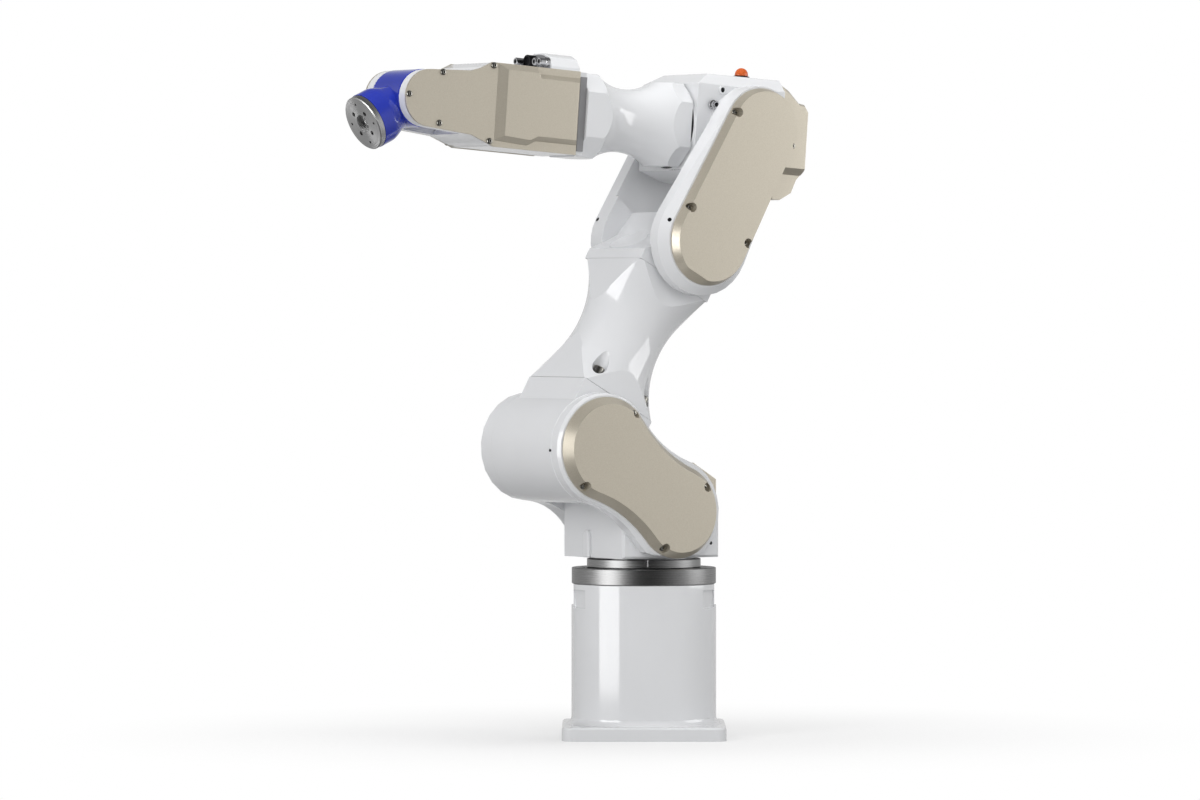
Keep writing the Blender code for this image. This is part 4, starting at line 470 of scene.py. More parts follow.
def turned_metal(name, colour, shade, roughness, link, axis, groove_mm):
    """Turned steel: grooves round the link's axis, drawn coarse enough to show, that streak its shine.

    The shine is stretched across the grooves: its tangent is axis x (place - centre), turned with the piece.
    """
    material, tree, output, place = new_material(name)
    chosen = "XYZ".index(axis)
    local = add_node(
        tree,
        "ShaderNodeMapping",
        {"Location": link.inverted().translation, "Rotation": link.inverted().to_euler()},
        {"Vector": place},
    )
    parts = add_node(tree, "ShaderNodeSeparateXYZ", None, {"Vector": local.outputs["Vector"]}).outputs
    across = [parts[i] for i in range(3) if i != chosen]
    radial = add_node(tree, "ShaderNodeCombineXYZ", None, {"X": across[0], "Y": across[1]})
    radius = add_node(tree, "ShaderNodeVectorMath", {"operation": "LENGTH"}, {0: radial.outputs[0]})
    reach = add_node(
        tree, "ShaderNodeCombineXYZ", None, {"X": parts[chosen], "Y": radius.outputs["Value"]}
    )
    grooves = add_node(
        tree, "ShaderNodeTexNoise", {"Scale": grains(groove_mm), "Detail": 1.0}, {"Vector": reach.outputs[0]}
    ).outputs["Fac"]
    bump = add_node(tree, "ShaderNodeBump", {"Strength": 0.1, "Distance": 0.01 * MM}, {"Height": grooves})
    offset = add_node(
        tree, "ShaderNodeVectorMath", {"operation": "SUBTRACT", 1: link.translation}, {0: place}
    )
    around = add_node(
        tree,
        "ShaderNodeVectorMath",
        {"operation": "CROSS_PRODUCT", 0: link.to_3x3().col[chosen]},
        {1: offset.outputs[0]},
    )
    tangent = add_node(
        tree,
        "ShaderNodeVectorTransform",
        {"vector_type": "VECTOR", "convert_from": "OBJECT", "convert_to": "WORLD"},
        {"Vector": around.outputs[0]},
    )
    clear_grooves = add_node(tree, "ShaderNodeMapRange", NOISE_MIDDLE, {"Value": grooves})
    tone = add_node(
        tree,
        "ShaderNodeMix",
        {"data_type": "RGBA", 6: linear(shade), 7: linear(colour)},
        {0: clear_grooves.outputs["Result"]},
    )
    sheen = add_node(
        tree,
        "ShaderNodeMapRange",
        {**NOISE_MIDDLE, "To Min": roughness - 0.05, "To Max": roughness + 0.06},
        {"Value": grooves},
    )
    shader = add_node(
        tree,
        "ShaderNodeBsdfPrincipled",
        {"Metallic": 1.0, "Anisotropic": 0.75},
        {
            "Base Color": tone.outputs[2],
            "Roughness": sheen.outputs["Result"],
            "Normal": bump.outputs["Normal"],
            "Tangent": tangent.outputs["Vector"],
        },
    )
    tree.links.new(shader.outputs["BSDF"], output.inputs["Surface"])
    return material


def plain_metal(name, colour, shade, roughness):
    """Machined or plated metal of small pieces, with fine marks about 0.4 mm across that soften its shine."""
    material, tree, output, place = new_material(name)
    marks = add_node(
        tree, "ShaderNodeTexNoise", {"Scale": grains(0.4), "Detail": 2.0}, {"Vector": place}
    ).outputs["Fac"]
    tone = add_node(
        tree, "ShaderNodeMix", {"data_type": "RGBA", 6: linear(shade), 7: linear(colour)}, {0: marks}
    )
    sheen = add_node(
        tree,
        "ShaderNodeMapRange",
        {**NOISE_MIDDLE, "To Min": roughness - 0.04, "To Max": roughness + 0.04},
        {"Value": marks},
    )
    shader = add_node(
        tree,
        "ShaderNodeBsdfPrincipled",
        {"Metallic": 1.0},
        {"Base Color": tone.outputs[2], "Roughness": sheen.outputs["Result"]},
    )
    tree.links.new(shader.outputs["BSDF"], output.inputs["Surface"])
    return material


def moulded_plastic(name, colour, shade, roughness, transmission=0.0):
    """Injection-moulded plastic, dulled by a spark-eroded grain about 0.5 mm across."""
    material, tree, output, place = new_material(name)
    grain = add_node(
        tree, "ShaderNodeTexNoise", {"Scale": grains(0.5), "Detail": 2.0}, {"Vector": place}
    ).outputs["Fac"]
    bump = add_node(tree, "ShaderNodeBump", {"Strength": 0.4, "Distance": 0.03 * MM}, {"Height": grain})
    tone = add_node(
        tree, "ShaderNodeMix", {"data_type": "RGBA", 6: linear(shade), 7: linear(colour)}, {0: grain}
    )
    sheen = add_node(
        tree,
        "ShaderNodeMapRange",
        {**NOISE_MIDDLE, "To Min": roughness - 0.05, "To Max": roughness + 0.05},
        {"Value": grain},
    )
    shader = add_node(
        tree,
        "ShaderNodeBsdfPrincipled",
        {"IOR": 1.49, "Transmission Weight": transmission},
        {
            "Base Color": tone.outputs[2],
            "Roughness": sheen.outputs["Result"],
            "Normal": bump.outputs["Normal"],
        },
    )
    tree.links.new(shader.outputs["BSDF"], output.inputs["Surface"])
    return material


finishes = {
    "white_paint": gloss_enamel("white_enamel", "E9EAEC", "E5E6E8", 0.09, 0.006),
    "cover_satin": champagne_paint("champagne_metallic_paint", "C6BFB0", "BCB4A4"),
    "wrist_blue": gloss_enamel("blue_enamel", "2A3BB0", "2534A0", 0.1, 0.005),
    "turned_steel": plain_metal("machined_steel", "A2A2A4", "8C8C8E", 0.3),
    # Blackened steel, which also serves as the dark discs of painted shade in small holes
    "black_oxide": plain_metal("blackened_steel_and_hole_shade", "3A3A3C", "2A2A2C", 0.42),
    "bright_screw": plain_metal("bright_zinc_screw", "B4B2AC", "98968F", 0.22),
    "black_plastic": moulded_plastic("black_moulded_plastic", "1E1E20", "161618", 0.5),
    "motor_black": moulded_plastic("motor_black_lacquer", "2A2B2E", "202124", 0.45),
    "belt_rubber": moulded_plastic("belt_rubber", "1C1C1E", "141416", 0.8),
    "lamp_orange": moulded_plastic("orange_lens", "E7743A", "DC6228", 0.18, 0.2),
    # Grey plastic, which also serves as the painted shade of the wrist's end plate and connector front
    "grey_plastic": moulded_plastic("grey_plastic_and_painted_shade", "8C8C8E", "848486", 0.5),
    "chrome": plain_metal("chromed_brass", "D8D8DA", "C4C4C6", 0.12),
    "ring_steel": turned_metal("turned_ring_steel", "898989", "7F7F7F", 0.28, BASE, "Z", 0.5),
    "flange_steel": turned_metal("turned_flange_steel", "D0D0D0", "BABABA", 0.3, WRIST, "X", 0.7),
}


# Mesh builders


def scene_object(name, data):
    """New object of a mesh, light or camera, linked to the scene."""
    made = bpy.data.objects.new(name, data)
    bpy.context.scene.collection.objects.link(made)
    return made


def mesh_object(name, points, faces, link):
    """Object at the origin from local millimetre points; doubles are merged and faces turned outwards."""
    turn = np.array(link)
    world = points.reshape(-1, 3) * MM @ turn[:3, :3].T + turn[:3, 3]
    mesh = bpy.data.meshes.new(name)
    mesh.from_pydata(world.tolist(), [], faces)
    shape = bmesh.new()
    shape.from_mesh(mesh)
    bmesh.ops.remove_doubles(shape, verts=shape.verts, dist=MERGE)
    bmesh.ops.recalc_face_normals(shape, faces=shape.faces)
    shape.to_mesh(mesh)
    shape.free()
    return scene_object(name, mesh)


def skin(name, rings, link, looped=False):
    """Skin through rings, an array of (levels, points, 3): point i of one ring joins point i of the next.

    The first and last rings are capped or, with looped set, joined to each other.
    """
    levels, count = rings.shape[:2]
    index = np.arange(levels * count).reshape(levels, count)
    low = index if looped else index[:-1]
    high = np.roll(index, -1, 0) if looped else index[1:]
    quads = np.stack([low, np.roll(low, -1, 1), np.roll(high, -1, 1), high], axis=-1)
    faces = quads.reshape(-1, 4).tolist()
    if not looped:
        faces += [index[0].tolist(), index[-1].tolist()]
    return mesh_object(name, rings, faces, link)


def along_axis(first, second, level, axis):
    """Stacks plane coordinates and a level into points, the level lying along the named axis."""
    level = np.broadcast_to(level, first.shape)
    order = {"X": (level, first, second), "Y": (first, level, second), "Z": (first, second, level)}
    return np.stack(order[axis], axis=-1)


def turned(name, profile, link, axis="Z", centre=(0.0, 0.0), steps=FINE_ROUND, looped=False):
    """Turned piece: each (radius, level) of the profile becomes a circle radius*(cos a, sin a) there."""
    profile = np.array(profile, float)
    angle = np.linspace(0, 2 * math.pi, steps, endpoint=False)
    first = centre[0] + profile[:, :1] * np.cos(angle)
    second = centre[1] + profile[:, :1] * np.sin(angle)
    return skin(name, along_axis(first, second, profile[:, 1:], axis), link, looped=looped)


def lofted(name, sections, link, axis="Y"):
    """Piece through closed outlines of equal counts, each given with its level along the axis."""
    rings = [along_axis(outline[:, 0], outline[:, 1], level, axis) for outline, level in sections]
    return skin(name, np.array(rings), link)


def arc(centre, radius, start, end, steps):
    """Points centre + radius*(cos a, sin a) for a from start to end, in degrees."""
    angle = np.radians(np.linspace(start, end, steps + 1))
    return np.stack([centre[0] + radius * np.cos(angle), centre[1] + radius * np.sin(angle)], axis=-1)


def round_two(centre_a, radius_a, centre_b, radius_b, waist=0.0, steps=24):
    """Outline round two circles: tangents join them, or inward arcs of radius waist touching both."""
    span = math.dist(centre_a, centre_b)
    heading = math.degrees(math.atan2(centre_b[1] - centre_a[1], centre_b[0] - centre_a[0]))
    if not waist:
        lean = math.degrees(math.acos((radius_a - radius_b) / span))
        back = arc(centre_a, radius_a, heading + lean, heading + 360 - lean, 2 * steps)
        return np.concatenate([back, arc(centre_b, radius_b, heading - lean, heading + lean, 2 * steps)])
    reach_a = radius_a + waist
    reach_b = radius_b + waist
    along = (span**2 + reach_a**2 - reach_b**2) / (2 * span)
    aside = math.sqrt(reach_a**2 - along**2)
    lean_a = math.degrees(math.atan2(aside, along))
    lean_b = math.degrees(math.atan2(aside, span - along))
    turn = math.radians(heading)
    forward = np.array([math.cos(turn), math.sin(turn)])
    left = np.array([-math.sin(turn), math.cos(turn)])
    lower = np.array(centre_a) + along * forward - aside * left
    upper = np.array(centre_a) + along * forward + aside * left
    return np.concatenate(
        [
            arc(centre_a, radius_a, heading + lean_a, heading + 360 - lean_a, 2 * steps),
            arc(lower, waist, heading + 180 - lean_a, heading + lean_b, steps)[1:-1],
            arc(centre_b, radius_b, heading - 180 + lean_b, heading + 180 - lean_b, 2 * steps),
            arc(upper, waist, heading - lean_b, heading - 180 + lean_a, steps)[1:-1],
        ]
    )


def no_lower(outline, floor):
    """Outline with everything below a level lifted to it."""
    return np.stack([outline[:, 0], np.maximum(outline[:, 1], floor)], axis=-1)


def ring_profile(inner, outer, low, high, chamfer=0.0):
    """Profile of a ring, or of a solid rod where inner is 0, with its two outer edges chamfered."""
    if not chamfer:
        return [(inner, low), (outer, low), (outer, high), (inner, high)]
    return [
        (inner, low),
        (outer - chamfer, low),
        (outer, low + chamfer),
        (outer, high - chamfer),
        (outer - chamfer, high),
        (inner, high),
    ]


def boolean(piece, operation, others):
    """Applies one exact Boolean after another to the piece and removes the cutters."""
    for other in others:
        step = piece.modifiers.new("step", "BOOLEAN")
        step.operation = operation
        step.solver = "EXACT"
        step.object = other
        evaluated = piece.evaluated_get(bpy.context.evaluated_depsgraph_get())
        mesh = bpy.data.meshes.new_from_object(evaluated)
        piece.modifiers.clear()
        piece.data = mesh
        bpy.data.objects.remove(other)


def dress(piece, body, finish, replaces=(), edge=0.0):
    """Gives a piece its finish, smooth shading, rounded edges and the body that it rides on."""
    piece.data.materials.clear()
    piece.data.materials.append(finishes[finish])
    piece.data.shade_smooth()
    piece.data.set_sharp_from_angle(angle=SHARP_ANGLE)
    if edge:
        bevel = piece.modifiers.new("rounded_edges", "BEVEL")
        bevel.width = edge * MM
        bevel.segments = 2
        bevel.limit_method = "ANGLE"
        bevel.angle_limit = SHARP_ANGLE
        weights = piece.modifiers.new("even_normals", "WEIGHTED_NORMAL")
        weights.mode = "FACE_AREA_WITH_ANGLE"
        weights.weight = 100
        weights.keep_sharp = False
    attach(piece, body)
    if replaces:
        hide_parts(*replaces)


def recut(node, finish, edge=CASTING_EDGE, cutters=()):
    """Smoothed copy of a CAD node: merged and cut, its flat faces joined and its edges rounded."""
    piece = scene_object(f"{node}_skin", frame["nodes"][node].data.copy())
    for join_faces in (False, True):
        shape = bmesh.new()
        shape.from_mesh(piece.data)
        bmesh.ops.remove_doubles(shape, verts=shape.verts, dist=MERGE)
        if join_faces:
            bmesh.ops.dissolve_limit(shape, angle_limit=SAME_FACE, verts=shape.verts, edges=shape.edges)
        shape.to_mesh(piece.data)
        shape.free()
        if not join_faces:
            boolean(piece, "DIFFERENCE", cutters)
    dress(piece, body_of_node[node], finish, replaces=(node,), edge=edge)


def block(name, low, high, link):
    """Box between two opposite corners."""
    outline = np.array([(low[0], low[1]), (high[0], low[1]), (high[0], high[1]), (low[0], high[1])], float)
    return lofted(name, [(outline, low[2]), (outline, high[2])], link, "Z")


def facing(link, place, normal):
    """Frame at a place of a link, with its Z along the normal."""
    z = Vector(normal).normalized()
    x = z.orthogonal().normalized()
    turn = Matrix((x, z.cross(x), z)).transposed().to_4x4()
    return link @ Matrix.Translation(Vector(place) * MM) @ turn


def ellipsoid(name, centre, half, link):
    """Ellipsoid centre + half * (cos b cos a, cos b sin a, sin b), its poles drawn nearly to a point."""
    around = np.linspace(0, 2 * math.pi, BALL_ROUND, endpoint=False)
    turn, rise = np.meshgrid(around, np.linspace(-BALL_POLE, BALL_POLE, BALL_LEVELS))
    ball = np.stack([np.cos(rise) * np.cos(turn), np.cos(rise) * np.sin(turn), np.sin(rise)], axis=-1)
    return skin(name, np.array(centre) + np.array(half) * ball, link)


# Fasteners and fittings


def button_screw(
    name, place, level, link, body, axis="Y", radius=SCREW_RADIUS, height=SCREW_HEIGHT, outwards=1
):
    """Button-head screw: an upright skirt, a dome radius*cos(a), height*sin(a), and a six-sided socket."""
    angle = np.linspace(0, 2 * math.pi, SCREW_ROUND, endpoint=False)
    dome = np.radians(np.linspace(0, SCREW_DOME_END, DOME_LEVELS))
    radii = np.array([radius, *radius * np.cos(dome)])
    levels = [0.0, *height * (SCREW_SKIRT + (1 - SCREW_SKIRT) * np.sin(dome))]
    socket = radius * SOCKET_RADIUS
    floor = height * SOCKET_FLOOR
    hexagon = socket * math.cos(math.pi / 6) / np.cos((angle % (math.pi / 3)) - math.pi / 6)
    round_radii = radii[:, None] * np.ones_like(angle)
    hex_radii = np.stack([hexagon, hexagon * SOCKET_TAPER, hexagon * 0.0])
    heights = np.array([*levels, levels[-1], floor, floor])[:, None]
    reach = np.concatenate([round_radii, hex_radii])
    first = place[0] + reach * np.cos(angle)
    second = place[1] + reach * np.sin(angle)
    rings = along_axis(first, second, level + outwards * heights, axis)
    dress(skin(name, rings, link), body, "bright_screw")


def hole_shade_disc(name, hole, link, body):
    """Painted shade of a small drilled hole: a dark short rod along the hole's direction, in place of a cut hole.
    """
    place, normal, radius = hole
    profile = ring_profile(0, radius, -HOLE_SHADE_DEPTH, HOLE_SHADE_STAND)
    dress(turned(name, profile, facing(link, place, normal), steps=SMALL_ROUND), body, "black_oxide")


def air_fitting(name, place, normal, reach, link, body, node=None):
    """Push-in air fitting, turned round the normal: a collar, a chromed sleeve and a dark bore."""
    tip = [(FITTING_COLLAR[-1][0], reach - FITTING_TIP_LENGTH), (FITTING_TIP_RADIUS, reach)]
    profile = [(FITTING_BORE_RADIUS, 0), *FITTING_COLLAR, *tip, (FITTING_BORE_RADIUS, reach)]
    at = facing(link, place, normal)
    sleeve = turned(name, profile, at, steps=SMALL_ROUND, looped=True)
    dress(sleeve, body, "chrome", (node,) if node else ())
    inside = ring_profile(0, BORE_PLUG_RADIUS, BORE_PLUG_START, reach - BORE_PLUG_SINK)
    dress(turned(f"{name}_bore", inside, at, steps=SMALL_ROUND), body, "black_plastic")


# Belt covers


def cover_with_pockets(name, rim, face, seat, top, pockets, link, body, node):
    """Belt cover lofted from rim to face: an upright lip, a wide bevel, a round edge, and screw pockets."""
    bevel_top = top - EDGE_ROUND
    edge_in = rim + (face - rim) * BEVEL_END
    sections = [
        (rim, seat),
        (rim, seat + COVER_LIP - COVER_LIP_ROUND),
        (rim + (face - rim) * BEVEL_START, seat + COVER_LIP),
        (edge_in, bevel_top),
    ]
    for turn in np.radians(np.linspace(0, 90, EDGE_STEPS + 1))[1:]:
        outline = edge_in + (face - edge_in) * (1 - math.cos(turn))
        sections.append((outline, bevel_top + EDGE_ROUND * math.sin(turn)))
    cover = lofted(name, sections, link)
    floor = seat + POCKET_RISE
    pocket = ring_profile(0, POCKET_RADIUS, floor, top + CUT_OVERRUN)
    cutters = [turned("pocket", pocket, link, "Y", spot, POCKET_ROUND) for spot in pockets]
    boolean(cover, "DIFFERENCE", cutters)
    for number, spot in enumerate(pockets, 1):
        button_screw(f"{name}_screw_{number}", spot, floor, link, body)
    dress(cover, body, "cover_satin", replaces=(node,), edge=COVER_EDGE)


def belt_covers():
    """Covers over the belts of the second and third joints, each round its two pulleys."""
    cover_with_pockets(
        "j2_cover",
        round_two(HUB_PLACE, J2_RIM_RADII[0], J2_MOTOR_PLACE, J2_RIM_RADII[1], J2_RIM_WAIST),
        round_two(HUB_PLACE, J2_FACE_RADII[0], J2_MOTOR_PLACE, J2_FACE_RADII[1], J2_FACE_WAIST),
        J2_COVER_SEAT,
        J2_COVER_FACE,
        J2_SCREWS,
        SHOULDER,
        "shoulder",
        "j2_belt_cover",
    )
    cover_with_pockets(
        "j3_cover",
        no_lower(round_two(J3_MOTOR_PLACE, J3_RIM_RADII[0], J3_HEAD_PLACE, J3_RIM_RADII[1]), J3_RIM_FLAT),
        no_lower(round_two(J3_MOTOR_PLACE, J3_FACE_RADII[0], J3_HEAD_PLACE, J3_FACE_RADII[1]), J3_FACE_FLAT),
        J3_COVER_SEAT,
        J3_COVER_FACE,
        J3_SCREWS,
        LOWER_ARM,
        "lower_arm",
        "j3_belt_cover",
    )


# Tubes, rings and wrist


def forearm_tube():
    """Tube turned to a hollowed neck, radius neck + R - sqrt(R^2 - d^2), with its ends cut to eight flats."""
    place = np.linspace(TUBE_BACK, TUBE_FRONT, TUBE_LEVELS)
    swell = TUBE_CURVE - np.sqrt(np.maximum(0, TUBE_CURVE**2 - (place - TUBE_NECK) ** 2))
    radius = np.minimum(TUBE_END_RADIUS, TUBE_NECK_RADIUS + swell)
    tube = turned("forearm_tube_skin", np.stack([radius, place], axis=-1), FOREARM, "X")
    corners = [(TUBE_FLAT, TUBE_VERTEX), (TUBE_VERTEX, TUBE_FLAT)]
    corners += [(-TUBE_VERTEX, TUBE_FLAT), (-TUBE_FLAT, TUBE_VERTEX)]
    corners = np.array(corners + [(-y, -z) for y, z in corners])
    ends = (TUBE_BACK - CUT_OVERRUN, TUBE_FRONT + CUT_OVERRUN)
    boolean(tube, "INTERSECT", [lofted("flats", [(corners, end) for end in ends], FOREARM, "X")])
    dress(tube, "forearm", "white_paint", replaces=("forearm_tube",), edge=SKIN_EDGE)


def waist_tube():
    """Tube turned to a hollowed waist, cut to four flat sides, with a pointed pocket over each bolt."""
    level = np.linspace(WAIST_BOTTOM, WAIST_TOP, TUBE_LEVELS)
    rise = WAIST_CURVE - np.sqrt(WAIST_CURVE**2 - (level - WAIST_MIDDLE) ** 2)
    tube = turned("waist_tube_skin", np.stack([WAIST_RADIUS + rise, level], axis=-1), LOWER_ARM)
    low = (-ARM_DEPTH, -ARM_WIDTH, WAIST_BOTTOM - CUT_OVERRUN)
    high = (ARM_DEPTH, ARM_WIDTH, WAIST_TOP + CUT_OVERRUN)
    boolean(tube, "INTERSECT", [block("sides", low, high, LOWER_ARM)])
    spots = [
        (across, aside)
        for across in (-TUBE_BOLT_ACROSS, TUBE_BOLT_ACROSS)
        for aside in (-TUBE_BOLT_ASIDE, TUBE_BOLT_ASIDE)
    ]
    pocket = [
        (0, TUBE_BOLT_SEAT),
        (BOLT_POCKET_RADIUS, TUBE_BOLT_SEAT),
        (BOLT_POCKET_RADIUS, BOLT_POCKET_SHOULDER),
        (0, BOLT_POCKET_TIP),
    ]
    cutters = [turned("pocket", pocket, LOWER_ARM, "Z", spot, BOLT_POCKET_ROUND) for spot in spots]
    boolean(tube, "DIFFERENCE", cutters)
    dress(tube, "lower_arm", "white_paint", replaces=("lower_arm_tube",), edge=SKIN_EDGE)
    bottom = TUBE_BOLT_SEAT - TUBE_BOLT_SINK
    top = TUBE_BOLT_SEAT + TUBE_BOLT_HEIGHT
    socket_floor = top - TUBE_BOLT_SOCKET_DEPTH
    head = [
        (0, bottom),
        (TUBE_BOLT_RADIUS, bottom),
        (TUBE_BOLT_RADIUS, top - TUBE_BOLT_CHAMFER),
        (TUBE_BOLT_RADIUS - TUBE_BOLT_CHAMFER, top),
        (TUBE_BOLT_SOCKET, top),
        (TUBE_BOLT_SOCKET, socket_floor),
        (0, socket_floor),
    ]
    for number, spot in enumerate(spots, 1):
        bolt = turned(f"tube_bolt_{number}", head, LOWER_ARM, "Z", spot, SMALL_ROUND)
        dress(bolt, "lower_arm", "bright_screw", (f"lower_arm_bolt_{number}",))


def blue_wrist():
    """Drum turned across the fork, joined to the turned barrel of the last joint."""
    sides = (-DRUM_HALF_WIDTH, DRUM_HALF_WIDTH)
    drum = turned("wrist_body_skin", ring_profile(0, DRUM_RADIUS, *sides, DRUM_CHAMFER), WRIST, "Y")
    barrel = [(0, BARREL_ROOT[0][1]), *BARREL_ROOT, (BARREL_ROOT[-1][0], BARREL_END), (0, BARREL_END)]
    boolean(drum, "UNION", [turned("barrel", barrel, WRIST, "X")])
    dress(drum, "wrist", "wrist_blue", replaces=("wrist_body",), edge=SKIN_EDGE)
    plug = ring_profile(0, DRUM_PLUG_RADIUS, 0, DRUM_PLUG_HEIGHT)
    for aside in (DRUM_PLUG_ASIDE, -DRUM_PLUG_ASIDE):
        at = WRIST @ Matrix.Translation(Vector((DRUM_RADIUS - DRUM_PLUG_SINK, aside, 0)) * MM)
        dress(turned("drum_plug", plug, at, "X", steps=SMALL_ROUND), "wrist", "black_oxide")


def tool_flange():
    """Turned steel flange: a chamfered rim, a pilot, a centre hole, and four tapped and four dowel holes."""
    profile = [
        (0, FLANGE_BACK),
        (FLANGE_RADIUS, FLANGE_BACK),
        (FLANGE_RADIUS, FLANGE_FACE - FLANGE_CHAMFER),
        (FLANGE_RADIUS - FLANGE_CHAMFER, FLANGE_FACE),
        (PILOT_RADIUS, FLANGE_FACE),
        (PILOT_RADIUS, PILOT_FLOOR),
        (CENTRE_HOLE_RADIUS, PILOT_FLOOR),
        (CENTRE_HOLE_RADIUS, CENTRE_HOLE_FLOOR),
        (0, CENTRE_HOLE_FLOOR),
    ]
    flange = turned("tool_flange_skin", profile, WRIST, "X")
    holes = []
    for quarter in range(4):
        for circle, radius, start in (TAPPED_HOLES, DOWEL_HOLES):
            angle = math.radians(start + 90 * quarter)
            spot = (circle * math.cos(angle), circle * math.sin(angle))
            hole = ring_profile(0, radius, FLANGE_HOLE_FLOOR, FLANGE_FACE + CUT_OVERRUN)
            holes.append(turned("hole", hole, WRIST, "X", spot, HOLE_ROUND))
    boolean(flange, "DIFFERENCE", holes)
    dress(flange, "flange", "flange_steel", ("tool_flange",), FLANGE_EDGE)


def steel_rings():
    """Standing bearing ring with sunk socket bolts, and the turning flange above it with its keyway."""
    ring = turned("bearing_ring_skin", ring_profile(*BEARING_RING, BEARING_RING_CHAMFER), BASE, looped=True)
    turns = [math.radians(RING_BOLT_START + 360 / RING_BOLT_COUNT * i) for i in range(RING_BOLT_COUNT)]
    spots = [(RING_BOLT_CIRCLE * math.cos(turn), RING_BOLT_CIRCLE * math.sin(turn)) for turn in turns]
    sink = ring_profile(0, RING_SINK_RADIUS, RING_SINK_FLOOR, BEARING_RING[-1] + CUT_OVERRUN)
    boolean(ring, "DIFFERENCE", [turned("sink", sink, BASE, "Z", spot, POCKET_ROUND) for spot in spots])
    dress(ring, "base", "ring_steel", ("j1_bearing_ring",), SMALL_EDGE)
    for number, spot in enumerate(spots, 1):
        button_screw(f"ring_bolt_{number}", spot, RING_SINK_FLOOR, BASE, "base", "Z", *RING_BOLT_HEAD)
    profile = ring_profile(*OUTPUT_FLANGE, OUTPUT_FLANGE_CHAMFER)
    flange = turned("output_flange_skin", profile, BASE, looped=True)
    keyway = ring_profile(0, KEYWAY_RADIUS, KEYWAY_FLOOR, OUTPUT_FLANGE[-1] + CUT_OVERRUN)
    boolean(flange, "DIFFERENCE", [turned("keyway", keyway, BASE, "Z", KEYWAY_PLACE, KEYWAY_ROUND)])
    dress(flange, "shoulder", "ring_steel", ("j1_output_flange",), SMALL_EDGE)


# Base, shoulder, elbow and wrist details


def base_tower():
    """Round wall of the tower, with a flat on each side of its top and a notch in front of each flat."""
    profile = [(TOWER_RADIUS, level) for level in (*TOWER_LEVELS, TOWER_TOP - TOWER_CHAMFER)]
    profile += [(TOWER_RADIUS - TOWER_CHAMFER, TOWER_TOP), (TOWER_NECK_RADIUS, TOWER_TOP)]
    profile += [(TOWER_NECK_RADIUS, TOWER_NECK_LEVEL), (TOWER_WALL_INSIDE, TOWER_NECK_LEVEL)]
    profile += [(TOWER_WALL_INSIDE, TOWER_LEVELS[0])]
    wall = turned("tower_wall", profile, BASE, looped=True)
    cutters = []
    for side in (-1, 1):
        near, far = sorted((side * TOWER_FLAT, side * TOWER_CUT_REACH))
        low = (near, -TOWER_CUT_REACH, TOWER_FLAT_BOTTOM)
        cutters.append(block("flat", low, (far, TOWER_CUT_REACH, TOWER_CUT_TOP), BASE))
        turn = math.radians(TOWER_NOTCH_TURN)
        out = Vector((side * math.sin(turn), -math.cos(turn), 0))
        place = (out * TOWER_RADIUS + Vector((0, 0, TOWER_NOTCH_LEVEL))) * MM
        at = link_frame(place, out.cross(Vector((0, 0, 1))), out)
        width, height, depth = TOWER_NOTCH_SIZE
        low = (-width / 2, -depth, -height / 2)
        cutters.append(block("notch", low, (width / 2, CUT_OVERRUN, height / 2), at))
    boolean(wall, "DIFFERENCE", cutters)
    dress(wall, "base", "white_paint", edge=SKIN_EDGE)
    inner = TOWER_NECK_RADIUS + TOWER_NECK_SPACE
    shoulder = ring_profile(inner, NECK_CUT_REACH, TOWER_NECK_LEVEL - TOWER_NECK_SPACE, TOWER_CUT_TOP)
    recut("base_casting", "white_paint", cutters=[turned("neck", shoulder, BASE, looped=True)])


def rib_outline(half_width):
    """Upright outline with a half-round top, about the rib's middle."""
    top = arc((RIB_MIDDLE, RIB_TOP), half_width, 180, 0, RIB_STEPS)
    return np.concatenate([[(RIB_MIDDLE - half_width, RIB_FOOT)], top, [(RIB_MIDDLE + half_width, RIB_FOOT)]])


def shoulder_details():
    """Rib and small hole of the shoulder casting, and the seam between its boss and the turning drum; the hole and
    a mark on the boss are dark discs of painted shade.
    """
    widths = (RIB_HALF_WIDTH, RIB_HALF_WIDTH, RIB_HALF_WIDTH - RIB_ROUND)
    sections = [(rib_outline(width), level) for width, level in zip(widths, RIB_LEVELS)]
    dress(lofted("shoulder_rib", sections, SHOULDER, "X"), "shoulder", "white_paint", edge=SKIN_EDGE)
    dress(turned("boss_band", BOSS_BAND, SHOULDER, "Y", HUB_PLACE, looped=True), "shoulder", "white_paint")
    seal = turned("drum_seal", ring_profile(*DRUM_SEAL), SHOULDER, "Y", HUB_PLACE, looped=True)
    dress(seal, "shoulder", "black_plastic")
    hole_shade_disc("boss_mark", BOSS_MARK, SHOULDER, "shoulder")
    hole_shade_disc("shoulder_hole", SHOULDER_HOLE, SHOULDER, "shoulder")


def yoke():
    """Fork of the lower arm with a hollow scooped in the front of its web, and its cross-pin holes, drawn as dark
    discs of painted shade.
    """
    scoop = ellipsoid("scoop", SCOOP_MIDDLE, SCOOP_HALF, LOWER_ARM)
    recut("elbow_yoke", "white_paint", cutters=[scoop])
    hole_shade_disc("far_pin_hole_shade", FAR_PIN, LOWER_ARM, "lower_arm")
    hole_shade_disc("near_pin_hole_shade", NEAR_PIN, LOWER_ARM, "lower_arm")


